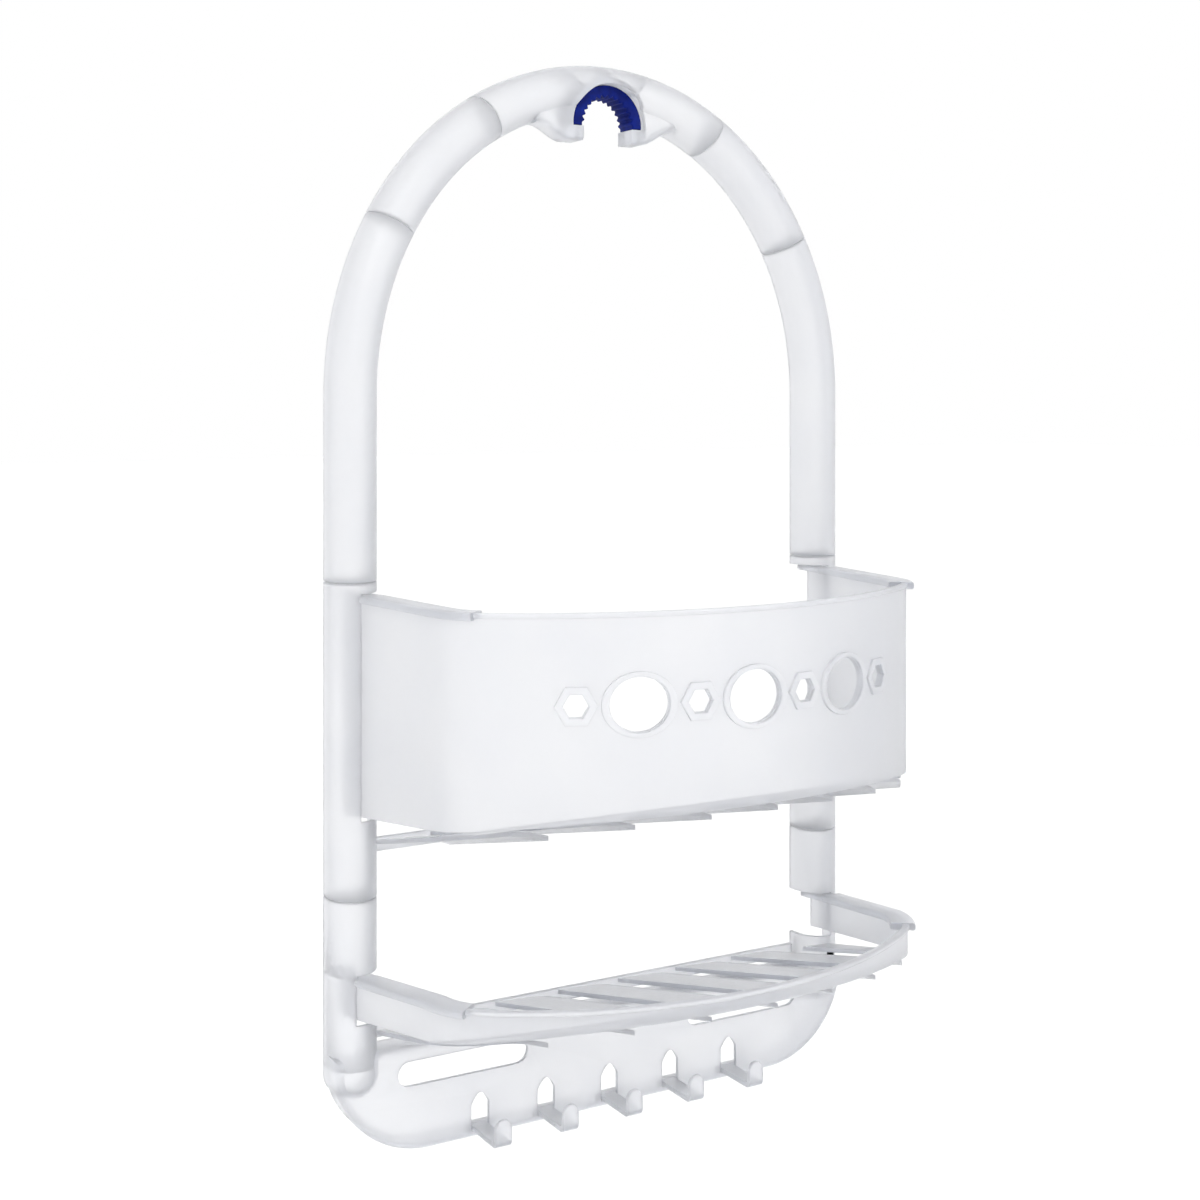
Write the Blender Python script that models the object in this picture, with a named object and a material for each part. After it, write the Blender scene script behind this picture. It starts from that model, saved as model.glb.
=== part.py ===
"""Hanging shower caddy: an arched channel frame, a basket, a tray and a row of hooks.

The frame is a row of back-open channel sections that meet web to web and snap
together with barbed pegs. The origin is the centre line of the shower arm in the
saddle, on the caddy's back plane. X runs along the caddy, -Y points away from the
wall and Z is up. Lengths are in metres.
"""
import math

import bpy
import bmesh
from mathutils import Vector

# Fits
GAP = 0.0003                 # between pieces that touch
SEAM_OVERLAP = 0.0010        # how far a cutter or a joined shape runs past a face

# Channel frame
RAIL_SPACING = 0.2500        # between the centre lines of the two upright rails
RAIL_WIDTH = 0.0224
RAIL_DEPTH = 0.0170
RAIL_FLANK = 0.0030          # straight side of the section behind its round crest
RAIL_WALL = 0.0018
WEB = 0.0011                 # transverse web inside the channel
SECTION_STEPS = 12
ARCH_RISE = 0.1430           # of the arch's centre line above its springing
ARCH_TOP_Z = 0.0170          # of the arch's centre line above the shower arm
SPRING_Z = ARCH_TOP_Z - ARCH_RISE
CROWN_ANGLE = math.radians(28.7)
SHOULDER_ANGLE = math.radians(58.4)
ARCH_STEP = math.radians(7.0)
LEG_LENGTH = 0.0810          # straight part of a leg below the springing
LEG_END_Z = SPRING_Z - LEG_LENGTH

# Barbed pegs between frame sections
PEG_RADIUS = 0.0018
PEG_TIP_RADIUS = 0.0013
PEG_DEPTH = 0.0077           # of a peg's axis in front of the back plane
BARB_HEIGHT = 0.0007
BARB_LENGTH = 0.0026

# Saddle that hangs on the shower arm
SADDLE_RADIUS = 0.0130       # clear inside the rubber grip
GRIP_THICKNESS = 0.0054
GRIP_RIDGE = 0.0005          # height of the waves inside the grip
GRIP_WAVES = 14
BEAD_HEIGHT = 0.0008         # retaining bead round the grip
BEAD_WIDTH = 0.0030
BEAD_START = math.radians(8.0)   # where the bead begins above each foot of the grip
SADDLE_DEPTH = 0.0130
LIP_TOP_Z = -0.0015
LIP_BOTTOM_Z = -0.0080
LIP_LENGTH = 0.0060          # run of a lip's flat underside
ARM_REACH = 0.0380           # from the saddle's centre to where its arms meet the arch
ARM_STEPS = 8
FAN_ANGLE = math.radians(43.0)

# Basket and tray
BASKET_OUTSET = 0.0020       # of the basket's ends beyond the rails' centre lines
TRAY_OUTSET = 0.0040
BASKET_WIDTH = RAIL_SPACING + 2 * BASKET_OUTSET
TRAY_WIDTH = RAIL_SPACING + 2 * TRAY_OUTSET
DEPTH = 0.1315               # back plane to the front of the basket and the tray
FRONT_RADIUS = 0.1900
CORNER_RADIUS = 0.0340
SPLAY = math.radians(6.8)    # of each end wall, wider at the back
FRONT_STEPS = 24
CORNER_STEPS = 5
SMALLEST_STEP = 0.0001
BASKET_WALL = 0.0020
RIM_BELOW_JOINT = 0.0050     # basket rim below the joint at the bottom of the legs
BASKET_HEIGHT = 0.1100       # rim to the floor's high edges at the back
BASKET_SIDE_LIFT = 0.0125    # bottom of an end wall above the floor's high edges
BASKET_FOOT_LIFT = 0.0092    # line of the wall's lower edge above the floor, at the back plane
BASKET_FOOT_RISE = 0.1436    # rise of that line towards the front, per unit of depth
BASKET_RIM_Z = LEG_END_Z - RIM_BELOW_JOINT
BASKET_FLOOR_Z = BASKET_RIM_Z - BASKET_HEIGHT
BASKET_SIDE_BOTTOM_Z = BASKET_FLOOR_Z + BASKET_SIDE_LIFT
POST_BELOW_FLOOR = 0.0220    # joint of the lower rail below the basket's floor
POST_END_Z = BASKET_FLOOR_Z - POST_BELOW_FLOOR
TRAY_BELOW_JOINT = 0.0250
TRAY_HEIGHT = 0.0350
TRAY_SIDE_LIFT = 0.0070
TRAY_FOOT_LIFT = 0.0035
TRAY_FOOT_RISE = 0.1850
TRAY_RIM_DROP = 0.0090       # how much lower the tray's rim is at the back
TRAY_RIM_Z = POST_END_Z - TRAY_BELOW_JOINT
TRAY_FLOOR_Z = TRAY_RIM_Z - TRAY_HEIGHT
TRAY_SIDE_BOTTOM_Z = TRAY_FLOOR_Z + TRAY_SIDE_LIFT
FLOOR_LIFT = 0.0315          # of a floor's front above its back
FLOOR_RISE = FLOOR_LIFT / DEPTH
FLANGE_IN = 0.0080
FLANGE_OUT = 0.0035
FLANGE_THICKNESS = 0.0032
FLANGE_BACK = 0.0100         # its front end behind the start of the round corner
SKIN_STEP = 0.0002           # keeps joined shapes from sharing a face
RIB_BELOW_RIM = 0.0076
RIB_BELOW_FLOOR = 0.0130
TRAY_RIB_Z = (TRAY_RIM_Z - RIB_BELOW_RIM, TRAY_FLOOR_Z - RIB_BELOW_FLOOR)
FOOT_BELOW_FLOOR = 0.0170
FOOT_Z = TRAY_FLOOR_Z - FOOT_BELOW_FLOOR    # where the rounded end of the rail starts
FOOT_ANGLES = (0, 18, 36, 54, 72, 84)
BEAD_IN = 0.0028
BEAD_OUT = 0.0008
BEAD_TALL = 0.0024

# Louvre floor
SLAT_PITCH = 0.0325
SLAT_OVERLAP = 0.0025        # of a slat's low edge under the next slat
SLAT_THICKNESS = 0.0020
SLAT_DROP = 0.0016           # across one slat, towards +X
SLAT_CURL = 0.0030           # further drop of its curled low edge
CURL_START = 0.55            # share of a slat's width at which the curl begins
SLAT_SHARES = (0.0, 0.55, 0.75, 0.9, 1.0)
SLAT_ROOM = 0.0040           # least run of a slat in front of a rail
FIRST_SLAT_INSET = 0.0060    # left edge of the first slat from the left rail's centre line
FIRST_SLAT_X = FIRST_SLAT_INSET - RAIL_SPACING / 2
SLAT_COUNT = round(RAIL_SPACING / SLAT_PITCH)
BACK_BEAM = (0.0030, 0.0060)  # thickness, height
FRONT_STRIP = 0.0020

# Openings in the basket's front
OPENING_BELOW_RIM = 0.0370
OPENING_Z = BASKET_RIM_Z - OPENING_BELOW_RIM
OPENING_PITCH = 0.02585
ROUND_OPENING = (0.0124, 0.0110)     # half width, half height
ROUND_COLLAR = (0.0034, 0.0022)      # its width at the sides, at the top and bottom
HEX_OPENING = (0.0052, 0.0052)       # to the corners
HEX_COLLAR = (0.0036, 0.0036)
COLLAR_HEIGHT = 0.0012
COLLAR_CORNERS = 28

# Hook panel
PANEL_DEPTH = 0.0140
PANEL_WALL = 0.0020
PANEL_BELOW_FLOOR = 0.0075
PANEL_HEIGHT = 0.0465
PANEL_TOP_Z = TRAY_FLOOR_Z - PANEL_BELOW_FLOOR
PANEL_BOTTOM_Z = PANEL_TOP_Z - PANEL_HEIGHT
PANEL_CORNER = 0.0450
PANEL_CORNER_STEPS = 9
SLOT_LENGTH = 0.0640
SLOT_INSET = 0.0180          # outer end of a slot from the rail's centre line
SLOT_FAR_X = RAIL_SPACING / 2 - SLOT_INSET
SLOT_NEAR_X = SLOT_FAR_X - SLOT_LENGTH
SLOT_HEIGHT = 0.0110
SLOT_BELOW_TOP = 0.0120
SLOT_Z = PANEL_TOP_Z - SLOT_BELOW_TOP
HOOK_PITCH = 0.0335
HOOK_COUNT = 5
WINDOW_WIDTH = 0.0090
WINDOW_HEIGHT = 0.0170
WINDOW_ABOVE_BOTTOM = 0.0030
WINDOW_BOTTOM_Z = PANEL_BOTTOM_Z + WINDOW_ABOVE_BOTTOM
WINDOW_ARCH = 0.0050         # rise of the arch at its top
ARCH_POWER = 1.8             # 1 would be a plain point and 2 a parabola
WINDOW_STEPS = 5
HOOK_SIDE_ROOM = 0.0007      # each side of a hook in its window
HOOK_WIDTH = WINDOW_WIDTH - 2 * HOOK_SIDE_ROOM
HOOK_HEIGHT = 0.0125
HOOK_THICKNESS = 0.0023
HOOK_BEVEL = 0.0009          # of the heel, the tip and the inside corner
HOOK_REACH = 0.0235          # from the panel's face to the front of the tip
HOOK_ROOT = 0.0018           # thickness and overlap of the root behind the panel

# Finishes: colour, roughness, metallic
FROSTED = ((0.86, 0.89, 0.94, 1.0), 0.38, 0.0)
RUBBER = ((0.01, 0.04, 0.32, 1.0), 0.55, 0.0)


def clear_scene():
    for item in list(bpy.data.objects):
        bpy.data.objects.remove(item, do_unlink=True)


def make_material(name, finish):
    colour, roughness, metallic = finish
    material = bpy.data.materials.new(name)
    material.use_nodes = True
    shader = material.node_tree.nodes["Principled BSDF"]
    shader.inputs["Base Color"].default_value = colour
    shader.inputs["Roughness"].default_value = roughness
    shader.inputs["Metallic"].default_value = metallic
    return material


def finish_part(item, finish):
    """Give a sub-part its own material."""
    item.data.materials.clear()
    item.data.materials.append(make_material(item.name + "_finish", finish))
    return item


def mesh_object(name, points, faces):
    """A closed mesh whose faces are turned outwards."""
    mesh = bpy.data.meshes.new(name)
    mesh.from_pydata([tuple(point) for point in points], [], faces)
    shell = bmesh.new()
    shell.from_mesh(mesh)
    bmesh.ops.recalc_face_normals(shell, faces=shell.faces)
    shell.to_mesh(mesh)
    shell.free()
    item = bpy.data.objects.new(name, mesh)
    bpy.context.scene.collection.objects.link(item)
    return item


def loft(name, rings):
    """Join rings of equal length into one solid with flat ends."""
    size = len(rings[0])
    points = [point for ring in rings for point in ring]
    faces = []
    for row in range(len(rings) - 1):
        first = row * size
        for column in range(size):
            after = (column + 1) % size
            faces.append((first + column, first + after, first + size + after, first + size + column))
    faces.append(tuple(reversed(range(size))))
    faces.append(tuple(range(len(points) - size, len(points))))
    return mesh_object(name, points, faces)


def tube(name, outer_rings, inner_rings):
    """Join an outer and an inner pair of rings into one collar."""
    size = len(outer_rings[0])
    points = [*outer_rings[0], *outer_rings[1], *inner_rings[1], *inner_rings[0]]
    faces = []
    for band in range(4):
        first = band * size
        second = ((band + 1) % 4) * size
        for column in range(size):
            after = (column + 1) % size
            faces.append((first + column, first + after, second + after, second + column))
    return mesh_object(name, points, faces)


def box(name, low, high):
    ring = [(low[0], low[1]), (high[0], low[1]), (high[0], high[1]), (low[0], high[1])]
    rings = [[(x, y, z) for x, y in ring] for z in (low[2], high[2])]
    return loft(name, rings)


def add_boolean(item, other, operation):
    other.hide_render = True
    other.display_type = "WIRE"
    step = item.modifiers.new(other.name, "BOOLEAN")
    step.object = other
    step.operation = operation
    step.solver = "EXACT"


def join(item, other):
    add_boolean(item, other, "UNION")


def cut(item, other):
    add_boolean(item, other, "DIFFERENCE")


def evaluated_mesh(item, name):
    graph = bpy.context.evaluated_depsgraph_get()
    graph.update()
    mesh = bpy.data.meshes.new_from_object(item.evaluated_get(graph))
    mesh.name = name
    return mesh


# Frame sections ---------------------------------------------------------------

def arch_speed(angle):
    across = RAIL_SPACING / 2 * math.cos(angle)
    down = ARCH_RISE * math.sin(angle)
    return math.hypot(across, down)


def arch_shift(angle, distance):
    """The arch angle that lies a short distance further from the crown, or nearer if negative."""
    return angle + math.copysign(1.0, angle) * distance / arch_speed(angle)


def arch_station(angle):
    """Centre and outward direction of the arch, as (x, z, outward x, outward z)."""
    x = RAIL_SPACING / 2 * math.sin(angle)
    z = SPRING_Z + ARCH_RISE * math.cos(angle)
    outward = Vector((ARCH_RISE * math.sin(angle), RAIL_SPACING / 2 * math.cos(angle))).normalized()
    return x, z, outward.x, outward.y


def leg_station(side, z):
    return side * RAIL_SPACING / 2, z, side, 0.0


def arch_path(start, end):
    """Stations along the arch, an odd number of steps apart so that none is at its top."""
    steps = 2 * round(abs(end - start) / ARCH_STEP / 2) + 1
    return [arch_station(start + (end - start) * step / steps) for step in range(steps + 1)]


def rail_section(inset, back):
    """Half-round outline in (outward, depth), inset from the outer skin."""
    half = RAIL_WIDTH / 2 - inset
    crest = RAIL_DEPTH - inset - RAIL_FLANK
    points = [(half, back)]
    for step in range(SECTION_STEPS + 1):
        angle = math.pi * step / SECTION_STEPS
        points.append((half * math.cos(angle), -RAIL_FLANK - crest * math.sin(angle)))
    points.append((-half, back))
    return points


def sweep(name, path, section):
    rings = []
    for x, z, outward_x, outward_z in path:
        rings.append([(x + outward_x * n, y, z + outward_z * n) for n, y in section])
    return loft(name, rings)


def foot_path(side, top):
    """Stations and scales of a rail that ends in a rounded foot."""
    half = RAIL_WIDTH / 2
    stations = [(leg_station(side, top), 1.0)]
    for degrees in FOOT_ANGLES:
        angle = math.radians(degrees)
        stations.append((leg_station(side, FOOT_Z - half * math.sin(angle)), math.cos(angle)))
    return stations


def foot_sweep(name, side, top, inset, back):
    """A rail section whose lower end shrinks to a rounded foot."""
    half = RAIL_WIDTH / 2
    shrink = (half - inset) / half
    rings = []
    for station, scale in foot_path(side, top):
        x, z, outward_x, outward_z = station
        if z < FOOT_Z:
            z = FOOT_Z + (z - FOOT_Z) * shrink
        section = rail_section(inset, back)
        rings.append([(x + outward_x * n * scale, y * scale if y < 0 else y, z) for n, y in section])
    return loft(name, rings)


def lathe(name, profile, origin, axis, segments=12):
    """Turn a profile of (distance, radius) about an axis."""
    turn = axis.to_track_quat("Z", "Y").to_matrix()
    rings = []
    for distance, radius in profile:
        ring = []
        for step in range(segments):
            angle = 2 * math.pi * step / segments
            local = Vector((radius * math.cos(angle), radius * math.sin(angle), distance))
            ring.append(origin + turn @ local)
        rings.append(ring)
    return loft(name, rings)


def joint_axis(station, side):
    """Point on the joint face and the direction that runs down the frame."""
    x, z, outward_x, outward_z = station
    origin = Vector((x, -PEG_DEPTH, z))
    down = Vector((outward_z * side, 0.0, -outward_x * side))
    return origin, down.normalized()


def add_peg(item, station, side):
    """Barbed peg that leaves a section's lower web and snaps behind the next web."""
    origin, down = joint_axis(station, side)
    grip = GAP + WEB + GAP
    profile = [
        (-WEB / 2, PEG_RADIUS),
        (grip, PEG_RADIUS),
        (grip, PEG_RADIUS + BARB_HEIGHT),
        (grip + BARB_LENGTH, PEG_TIP_RADIUS),
    ]
    join(item, lathe(item.name + "_peg", profile, origin, down))


def add_peg_hole(item, station, side):
    origin, down = joint_axis(station, side)
    reach = SEAM_OVERLAP / 2
    profile = [(-reach, PEG_RADIUS + GAP), (WEB + reach, PEG_RADIUS + GAP)]
    cut(item, lathe(item.name + "_peg_hole", profile, origin, down))


def make_shoulder(side_name, side):
    start = arch_shift(side * CROWN_ANGLE, GAP / 2)
    end = arch_shift(side * SHOULDER_ANGLE, -GAP / 2)
    name = side_name + "_shoulder"
    part = sweep(name, arch_path(start, end), rail_section(0.0, 0.0))
    inner = arch_path(arch_shift(start, WEB), arch_shift(end, -WEB))
    cut(part, sweep(name + "_cavity", inner, rail_section(RAIL_WALL, SEAM_OVERLAP)))
    add_peg(part, arch_station(end), side)
    add_peg_hole(part, arch_station(start), side)
    return finish_part(part, FROSTED)


def make_leg(side_name, side):
    start = arch_shift(side * SHOULDER_ANGLE, GAP / 2)
    spring = side * math.pi / 2
    end = leg_station(side, LEG_END_Z + GAP / 2)
    name = side_name + "_leg"
    part = sweep(name, arch_path(start, spring) + [end], rail_section(0.0, 0.0))
    inner = arch_path(arch_shift(start, WEB), spring)
    inner.append(leg_station(side, LEG_END_Z + GAP / 2 + WEB))
    cut(part, sweep(name + "_cavity", inner, rail_section(RAIL_WALL, SEAM_OVERLAP)))
    add_peg(part, end, side)
    add_peg_hole(part, arch_station(start), side)
    return finish_part(part, FROSTED)


def wall_room(name, side, half, low_z, high_z):
    """Block between the middle and a splayed end wall, through the whole depth of a rail."""
    near = RAIL_SPACING / 2 - RAIL_WIDTH
    corners = []
    for y in (SEAM_OVERLAP, -RAIL_DEPTH - SEAM_OVERLAP):
        far = half + GAP / math.cos(SPLAY) + y * math.tan(SPLAY)
        corners += [(near, y), (far, y)] if y > 0 else [(far, y), (near, y)]
    return loft(name, [[(side * x, y, z) for x, y in corners] for z in (low_z, high_z)])


def make_basket_post(side_name, side):
    """Rail beside the basket: its inner half gives way to the basket's end wall."""
    name = side_name + "_basket_post"
    top = LEG_END_Z - GAP / 2
    bottom = POST_END_Z + GAP / 2
    part = sweep(name, [leg_station(side, top), leg_station(side, bottom)], rail_section(0.0, 0.0))
    inner = [leg_station(side, top - WEB), leg_station(side, bottom + WEB)]
    cut(part, sweep(name + "_cavity", inner, rail_section(RAIL_WALL, SEAM_OVERLAP)))
    low_z = BASKET_SIDE_BOTTOM_Z - GAP
    cut(part, wall_room(name + "_wall_room", side, BASKET_WIDTH / 2, low_z, BASKET_RIM_Z + GAP))
    add_peg(part, leg_station(side, bottom), side)
    add_peg_hole(part, leg_station(side, top), side)
    return finish_part(part, FROSTED)


def make_tray_post(side_name, side):
    """Lowest length of the rail, with its rounded foot and two stiffening webs."""
    name = side_name + "_tray_post"
    top = POST_END_Z - GAP / 2
    part = foot_sweep(name, side, top, 0.0, 0.0)
    section = rail_section(RAIL_WALL, SEAM_OVERLAP)
    levels = [top - WEB, TRAY_RIB_Z[0] + WEB / 2, TRAY_RIB_Z[0] - WEB / 2, TRAY_RIB_Z[1] + WEB / 2]
    for row in range(0, len(levels), 2):
        inner = [leg_station(side, levels[row]), leg_station(side, levels[row + 1])]
        cut(part, sweep(f"{name}_cavity_{row}", inner, section))
    cut(part, foot_sweep(name + "_foot_cavity", side, TRAY_RIB_Z[1] - WEB / 2, RAIL_WALL, SEAM_OVERLAP))
    low_z = TRAY_SIDE_BOTTOM_Z - GAP
    high_z = tray_rim_height(-RAIL_DEPTH) + GAP
    cut(part, wall_room(name + "_wall_room", side, TRAY_WIDTH / 2, low_z, high_z))
    add_peg_hole(part, leg_station(side, top), side)
    return finish_part(part, FROSTED)


# Hanger crown and grip ----------------------------------------------------------

def arc_points(radius, start, end, segments=19):
    points = []
    for step in range(segments + 1):
        angle = start + (end - start) * step / segments
        points.append((radius * math.cos(angle), radius * math.sin(angle)))
    return points


def saddle_outline(radius, foot_z):
    """Half round with short straight legs, from the left foot to the right foot."""
    return [(-radius, foot_z), *arc_points(radius, math.pi, 0.0), (radius, foot_z)]


def pocket_outline(radius):
    mouth_z = LIP_BOTTOM_Z * 2
    mouth = [(SADDLE_RADIUS, LIP_TOP_Z), (SADDLE_RADIUS, mouth_z)]
    mouth += [(-SADDLE_RADIUS, mouth_z), (-SADDLE_RADIUS, LIP_TOP_Z)]
    return saddle_outline(radius, LIP_TOP_Z) + mouth


def grip_outline():
    """Outer half round, then the waved inner half round, as one closed outline."""
    foot_z = LIP_TOP_Z + GAP
    points = saddle_outline(SADDLE_RADIUS + GRIP_THICKNESS, foot_z)
    inner_steps = GRIP_WAVES * 4
    points.append((SADDLE_RADIUS + GRIP_RIDGE, foot_z))
    for step in range(inner_steps + 1):
        angle = math.pi * step / inner_steps
        wave = GRIP_RIDGE * math.cos(2 * GRIP_WAVES * angle)
        reach = SADDLE_RADIUS + wave
        points.append((reach * math.cos(angle), reach * math.sin(angle)))
    points.append((-SADDLE_RADIUS - GRIP_RIDGE, foot_z))
    return points


def make_grip():
    """Rubber liner of the saddle, with a bead that snaps into the pocket's groove."""
    part = extrude_y("saddle_grip", grip_outline(), -GAP, -SADDLE_DEPTH + GAP)
    radius = SADDLE_RADIUS + GRIP_THICKNESS
    outer = arc_points(radius + BEAD_HEIGHT, math.pi - BEAD_START, BEAD_START)
    inner = arc_points(radius - GRIP_THICKNESS / 2, BEAD_START, math.pi - BEAD_START)
    middle = -SADDLE_DEPTH / 2
    join(part, extrude_y("grip_bead", outer + inner, middle + BEAD_WIDTH / 2, middle - BEAD_WIDTH / 2))
    return finish_part(part, RUBBER)


def offset_line(points, distance):
    """Move an open line to its left by a distance, with mitred corners."""
    normals = []
    for first, second in zip(points, points[1:]):
        along = (Vector(second) - Vector(first)).normalized()
        normals.append(Vector((-along.y, along.x)))
    moved = []
    for number, point in enumerate(points):
        before = normals[max(number - 1, 0)]
        after = normals[min(number, len(normals) - 1)]
        shift = (before + after) * distance / (1 + before.dot(after))
        moved.append((point[0] + shift.x, point[1] + shift.y))
    return moved


def arm_outline(inset):
    """Front view of the block round the saddle: flat lips, then S-curves up to the arch."""
    arch_inner_z = SPRING_Z + (ARCH_RISE - RAIL_WIDTH / 2) * math.sqrt(1 - (ARM_REACH / (RAIL_SPACING / 2)) ** 2)
    lip_end = SADDLE_RADIUS + LIP_LENGTH
    right = [(SADDLE_RADIUS, LIP_BOTTOM_Z)]
    for step in range(ARM_STEPS + 1):
        share = step / ARM_STEPS
        rise = (1 - math.cos(math.pi * share)) / 2
        x = lip_end + (ARM_REACH - lip_end) * share
        right.append((x, LIP_BOTTOM_Z + (arch_inner_z - LIP_BOTTOM_Z) * rise))
    right.append((ARM_REACH, arch_inner_z + RAIL_WIDTH / 2))
    right = offset_line(right, inset)
    return [(-x, z) for x, z in reversed(right)] + right


def extrude_y(name, outline, back_y, front_y):
    rings = [[(x, y, z) for x, z in outline] for y in (back_y, front_y)]
    return loft(name, rings)


def make_crown():
    """Top of the arch: a channel section with the saddle's arms and pocket."""
    end = arch_shift(CROWN_ANGLE, -GAP / 2)
    inner_end = arch_shift(end, -WEB)
    part = sweep("hanger_crown", arch_path(-end, end), rail_section(0.0, 0.0))
    join(part, extrude_y("crown_arms", arm_outline(0.0), 0.0, -SADDLE_DEPTH))
    cavity = sweep("crown_cavity", arch_path(-inner_end, inner_end), rail_section(RAIL_WALL, SEAM_OVERLAP))
    front_y = -SADDLE_DEPTH + RAIL_WALL
    join(cavity, extrude_y("crown_arm_cavity", arm_outline(RAIL_WALL), SEAM_OVERLAP * 2, front_y))
    pocket_radius = SADDLE_RADIUS + GRIP_THICKNESS + GAP
    wall_radius = pocket_radius + BEAD_HEIGHT + RAIL_WALL
    behind = SEAM_OVERLAP * 4
    ahead = -RAIL_DEPTH * 2
    keep = extrude_y("pocket_wall", saddle_outline(wall_radius, LIP_BOTTOM_Z * 2), behind, ahead)
    cut(cavity, keep)
    for number, angle in enumerate((-FAN_ANGLE, 0.0, FAN_ANGLE)):
        outward = Vector((math.sin(angle), math.cos(angle)))
        across = Vector((outward.y, -outward.x)) * WEB / 2
        reach = outward * ARCH_RISE
        corners = [across, reach + across, reach - across, -across]
        outline = [(corner.x, corner.y) for corner in corners]
        cut(cavity, extrude_y(f"crown_rib_{number}", outline, behind + GAP, ahead - GAP))
    cut(part, cavity)
    past = -RAIL_DEPTH - SEAM_OVERLAP
    cut(part, extrude_y("saddle_pocket", pocket_outline(pocket_radius), SEAM_OVERLAP, past))
    groove_start = BEAD_START - GAP / pocket_radius
    groove = arc_points(pocket_radius + BEAD_HEIGHT, math.pi - groove_start, groove_start)
    half_groove = BEAD_WIDTH / 2 + GAP
    middle = -SADDLE_DEPTH / 2
    cut(part, extrude_y("bead_groove", groove, middle + half_groove, middle - half_groove))
    for side in (-1, 1):
        add_peg(part, arch_station(side * end), side)
    return finish_part(part, FROSTED)


# Basket and tray walls ------------------------------------------------------------

class WallPath:
    """Outline of a wall seen from above: two splayed ends, round corners, a bowed front.

    Distances are measured along the outer face from the middle of the front.
    """

    def __init__(self, width):
        self.half = width / 2
        self.centre_y = FRONT_RADIUS - DEPTH
        inner = FRONT_RADIUS - CORNER_RADIUS
        reach = self.half - CORNER_RADIUS / math.cos(SPLAY) + self.centre_y * math.tan(SPLAY)
        self.turn = math.asin(reach * math.cos(SPLAY) / inner) - SPLAY
        self.corner_x = inner * math.sin(self.turn)
        self.corner_y = self.centre_y - inner * math.cos(self.turn)
        self.front_length = FRONT_RADIUS * self.turn
        self.corner_length = CORNER_RADIUS * (math.pi / 2 - SPLAY - self.turn)
        self.end_x = self.corner_x + CORNER_RADIUS * math.cos(SPLAY)
        self.end_y = self.corner_y - CORNER_RADIUS * math.sin(SPLAY)
        self.half_length = self.front_length + self.corner_length - self.end_y / math.cos(SPLAY)

    def place(self, distance, offset=0.0):
        """Point on the outline in (x, y), offset outwards."""
        side = math.copysign(1.0, distance)
        along = abs(distance)
        if along <= self.front_length:
            angle = along / FRONT_RADIUS
            radius = FRONT_RADIUS + offset
            return side * radius * math.sin(angle), self.centre_y - radius * math.cos(angle)
        along -= self.front_length
        if along <= self.corner_length:
            angle = self.turn + along / CORNER_RADIUS
            radius = CORNER_RADIUS + offset
            x = self.corner_x + radius * math.sin(angle)
            return side * x, self.corner_y - radius * math.cos(angle)
        along -= self.corner_length
        x = self.end_x + along * math.sin(SPLAY) + offset * math.cos(SPLAY)
        y = self.end_y + along * math.cos(SPLAY) - offset * math.sin(SPLAY)
        return side * x, min(y, 0.0)

    def inner_front_y(self, x, inset):
        """Depth of the inner face at x, for a face inset from the outer one."""
        x = abs(x)
        radius = FRONT_RADIUS - inset
        corner = CORNER_RADIUS - inset
        if x <= radius * math.sin(self.turn):
            return self.centre_y - math.sqrt(radius ** 2 - x ** 2)
        if x <= self.corner_x + corner * math.cos(SPLAY):
            return self.corner_y - math.sqrt(corner ** 2 - (x - self.corner_x) ** 2)
        return (x + inset / math.cos(SPLAY) - self.half) / math.tan(SPLAY)

    def samples(self, start, end):
        """Distances along the wall, close together only where it curves tightly."""
        stops = {start, end}
        for step in range(FRONT_STEPS + 1):
            stops.add(-self.front_length + 2 * self.front_length * step / FRONT_STEPS)
        for step in range(1, CORNER_STEPS + 1):
            along = self.front_length + self.corner_length * step / CORNER_STEPS
            stops.update((along, -along))
        kept = sorted(stop for stop in stops if start <= stop <= end)
        result = [kept[0]]
        for stop in kept[1:]:
            if stop - result[-1] > SMALLEST_STEP:
                result.append(stop)
        return result


def floor_height(floor_z, y):
    """Height of the slats' high edges, which rise evenly towards the front."""
    return floor_z - y * FLOOR_RISE


def underside(path, distance, foot):
    """Lower edge of a wall, from its (lowest height, height at the back plane, rise)."""
    lowest, back_z, rise = foot
    return max(back_z - path.place(distance)[1] * rise, lowest)


def flat_slab(name, stops, low_n, high_n, low_z, high_z):
    """Slab in (distance, outward, height); the heights may vary with distance."""
    rings = []
    for stop in stops:
        low = low_z(stop)
        high = high_z(stop)
        rings.append([(stop, low_n, low), (stop, high_n, low), (stop, high_n, high), (stop, low_n, high)])
    return loft(name, rings)


def bend(name, flat, path, rim_z):
    """Wrap a flat slab round the wall's outline and lift it to its rim.

    Outwards at the front is -Y, so the wrap mirrors the slab and its faces are reversed.
    """
    mesh = evaluated_mesh(flat, name)
    shell = bmesh.new()
    shell.from_mesh(mesh)
    for vertex in shell.verts:
        distance, offset, height = vertex.co
        x, y = path.place(distance, offset)
        vertex.co = (x, y, height + rim_z(distance))
    bmesh.ops.reverse_faces(shell, faces=shell.faces)
    shell.to_mesh(mesh)
    shell.free()
    item = bpy.data.objects.new(name, mesh)
    bpy.context.scene.collection.objects.link(item)
    return item


def polygon_ring(distance, height, sizes, corners, offset):
    """Polygon of the given half width and half height, with a flat top and bottom."""
    points = []
    turn = 0.0 if corners == 6 else math.pi / corners
    for corner in range(corners):
        angle = turn + 2 * math.pi * corner / corners
        across = distance + sizes[0] * math.cos(angle)
        points.append((across, offset, height + sizes[1] * math.sin(angle)))
    return points


def grow(sizes, amounts):
    return sizes[0] + amounts[0], sizes[1] + amounts[1]


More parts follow.
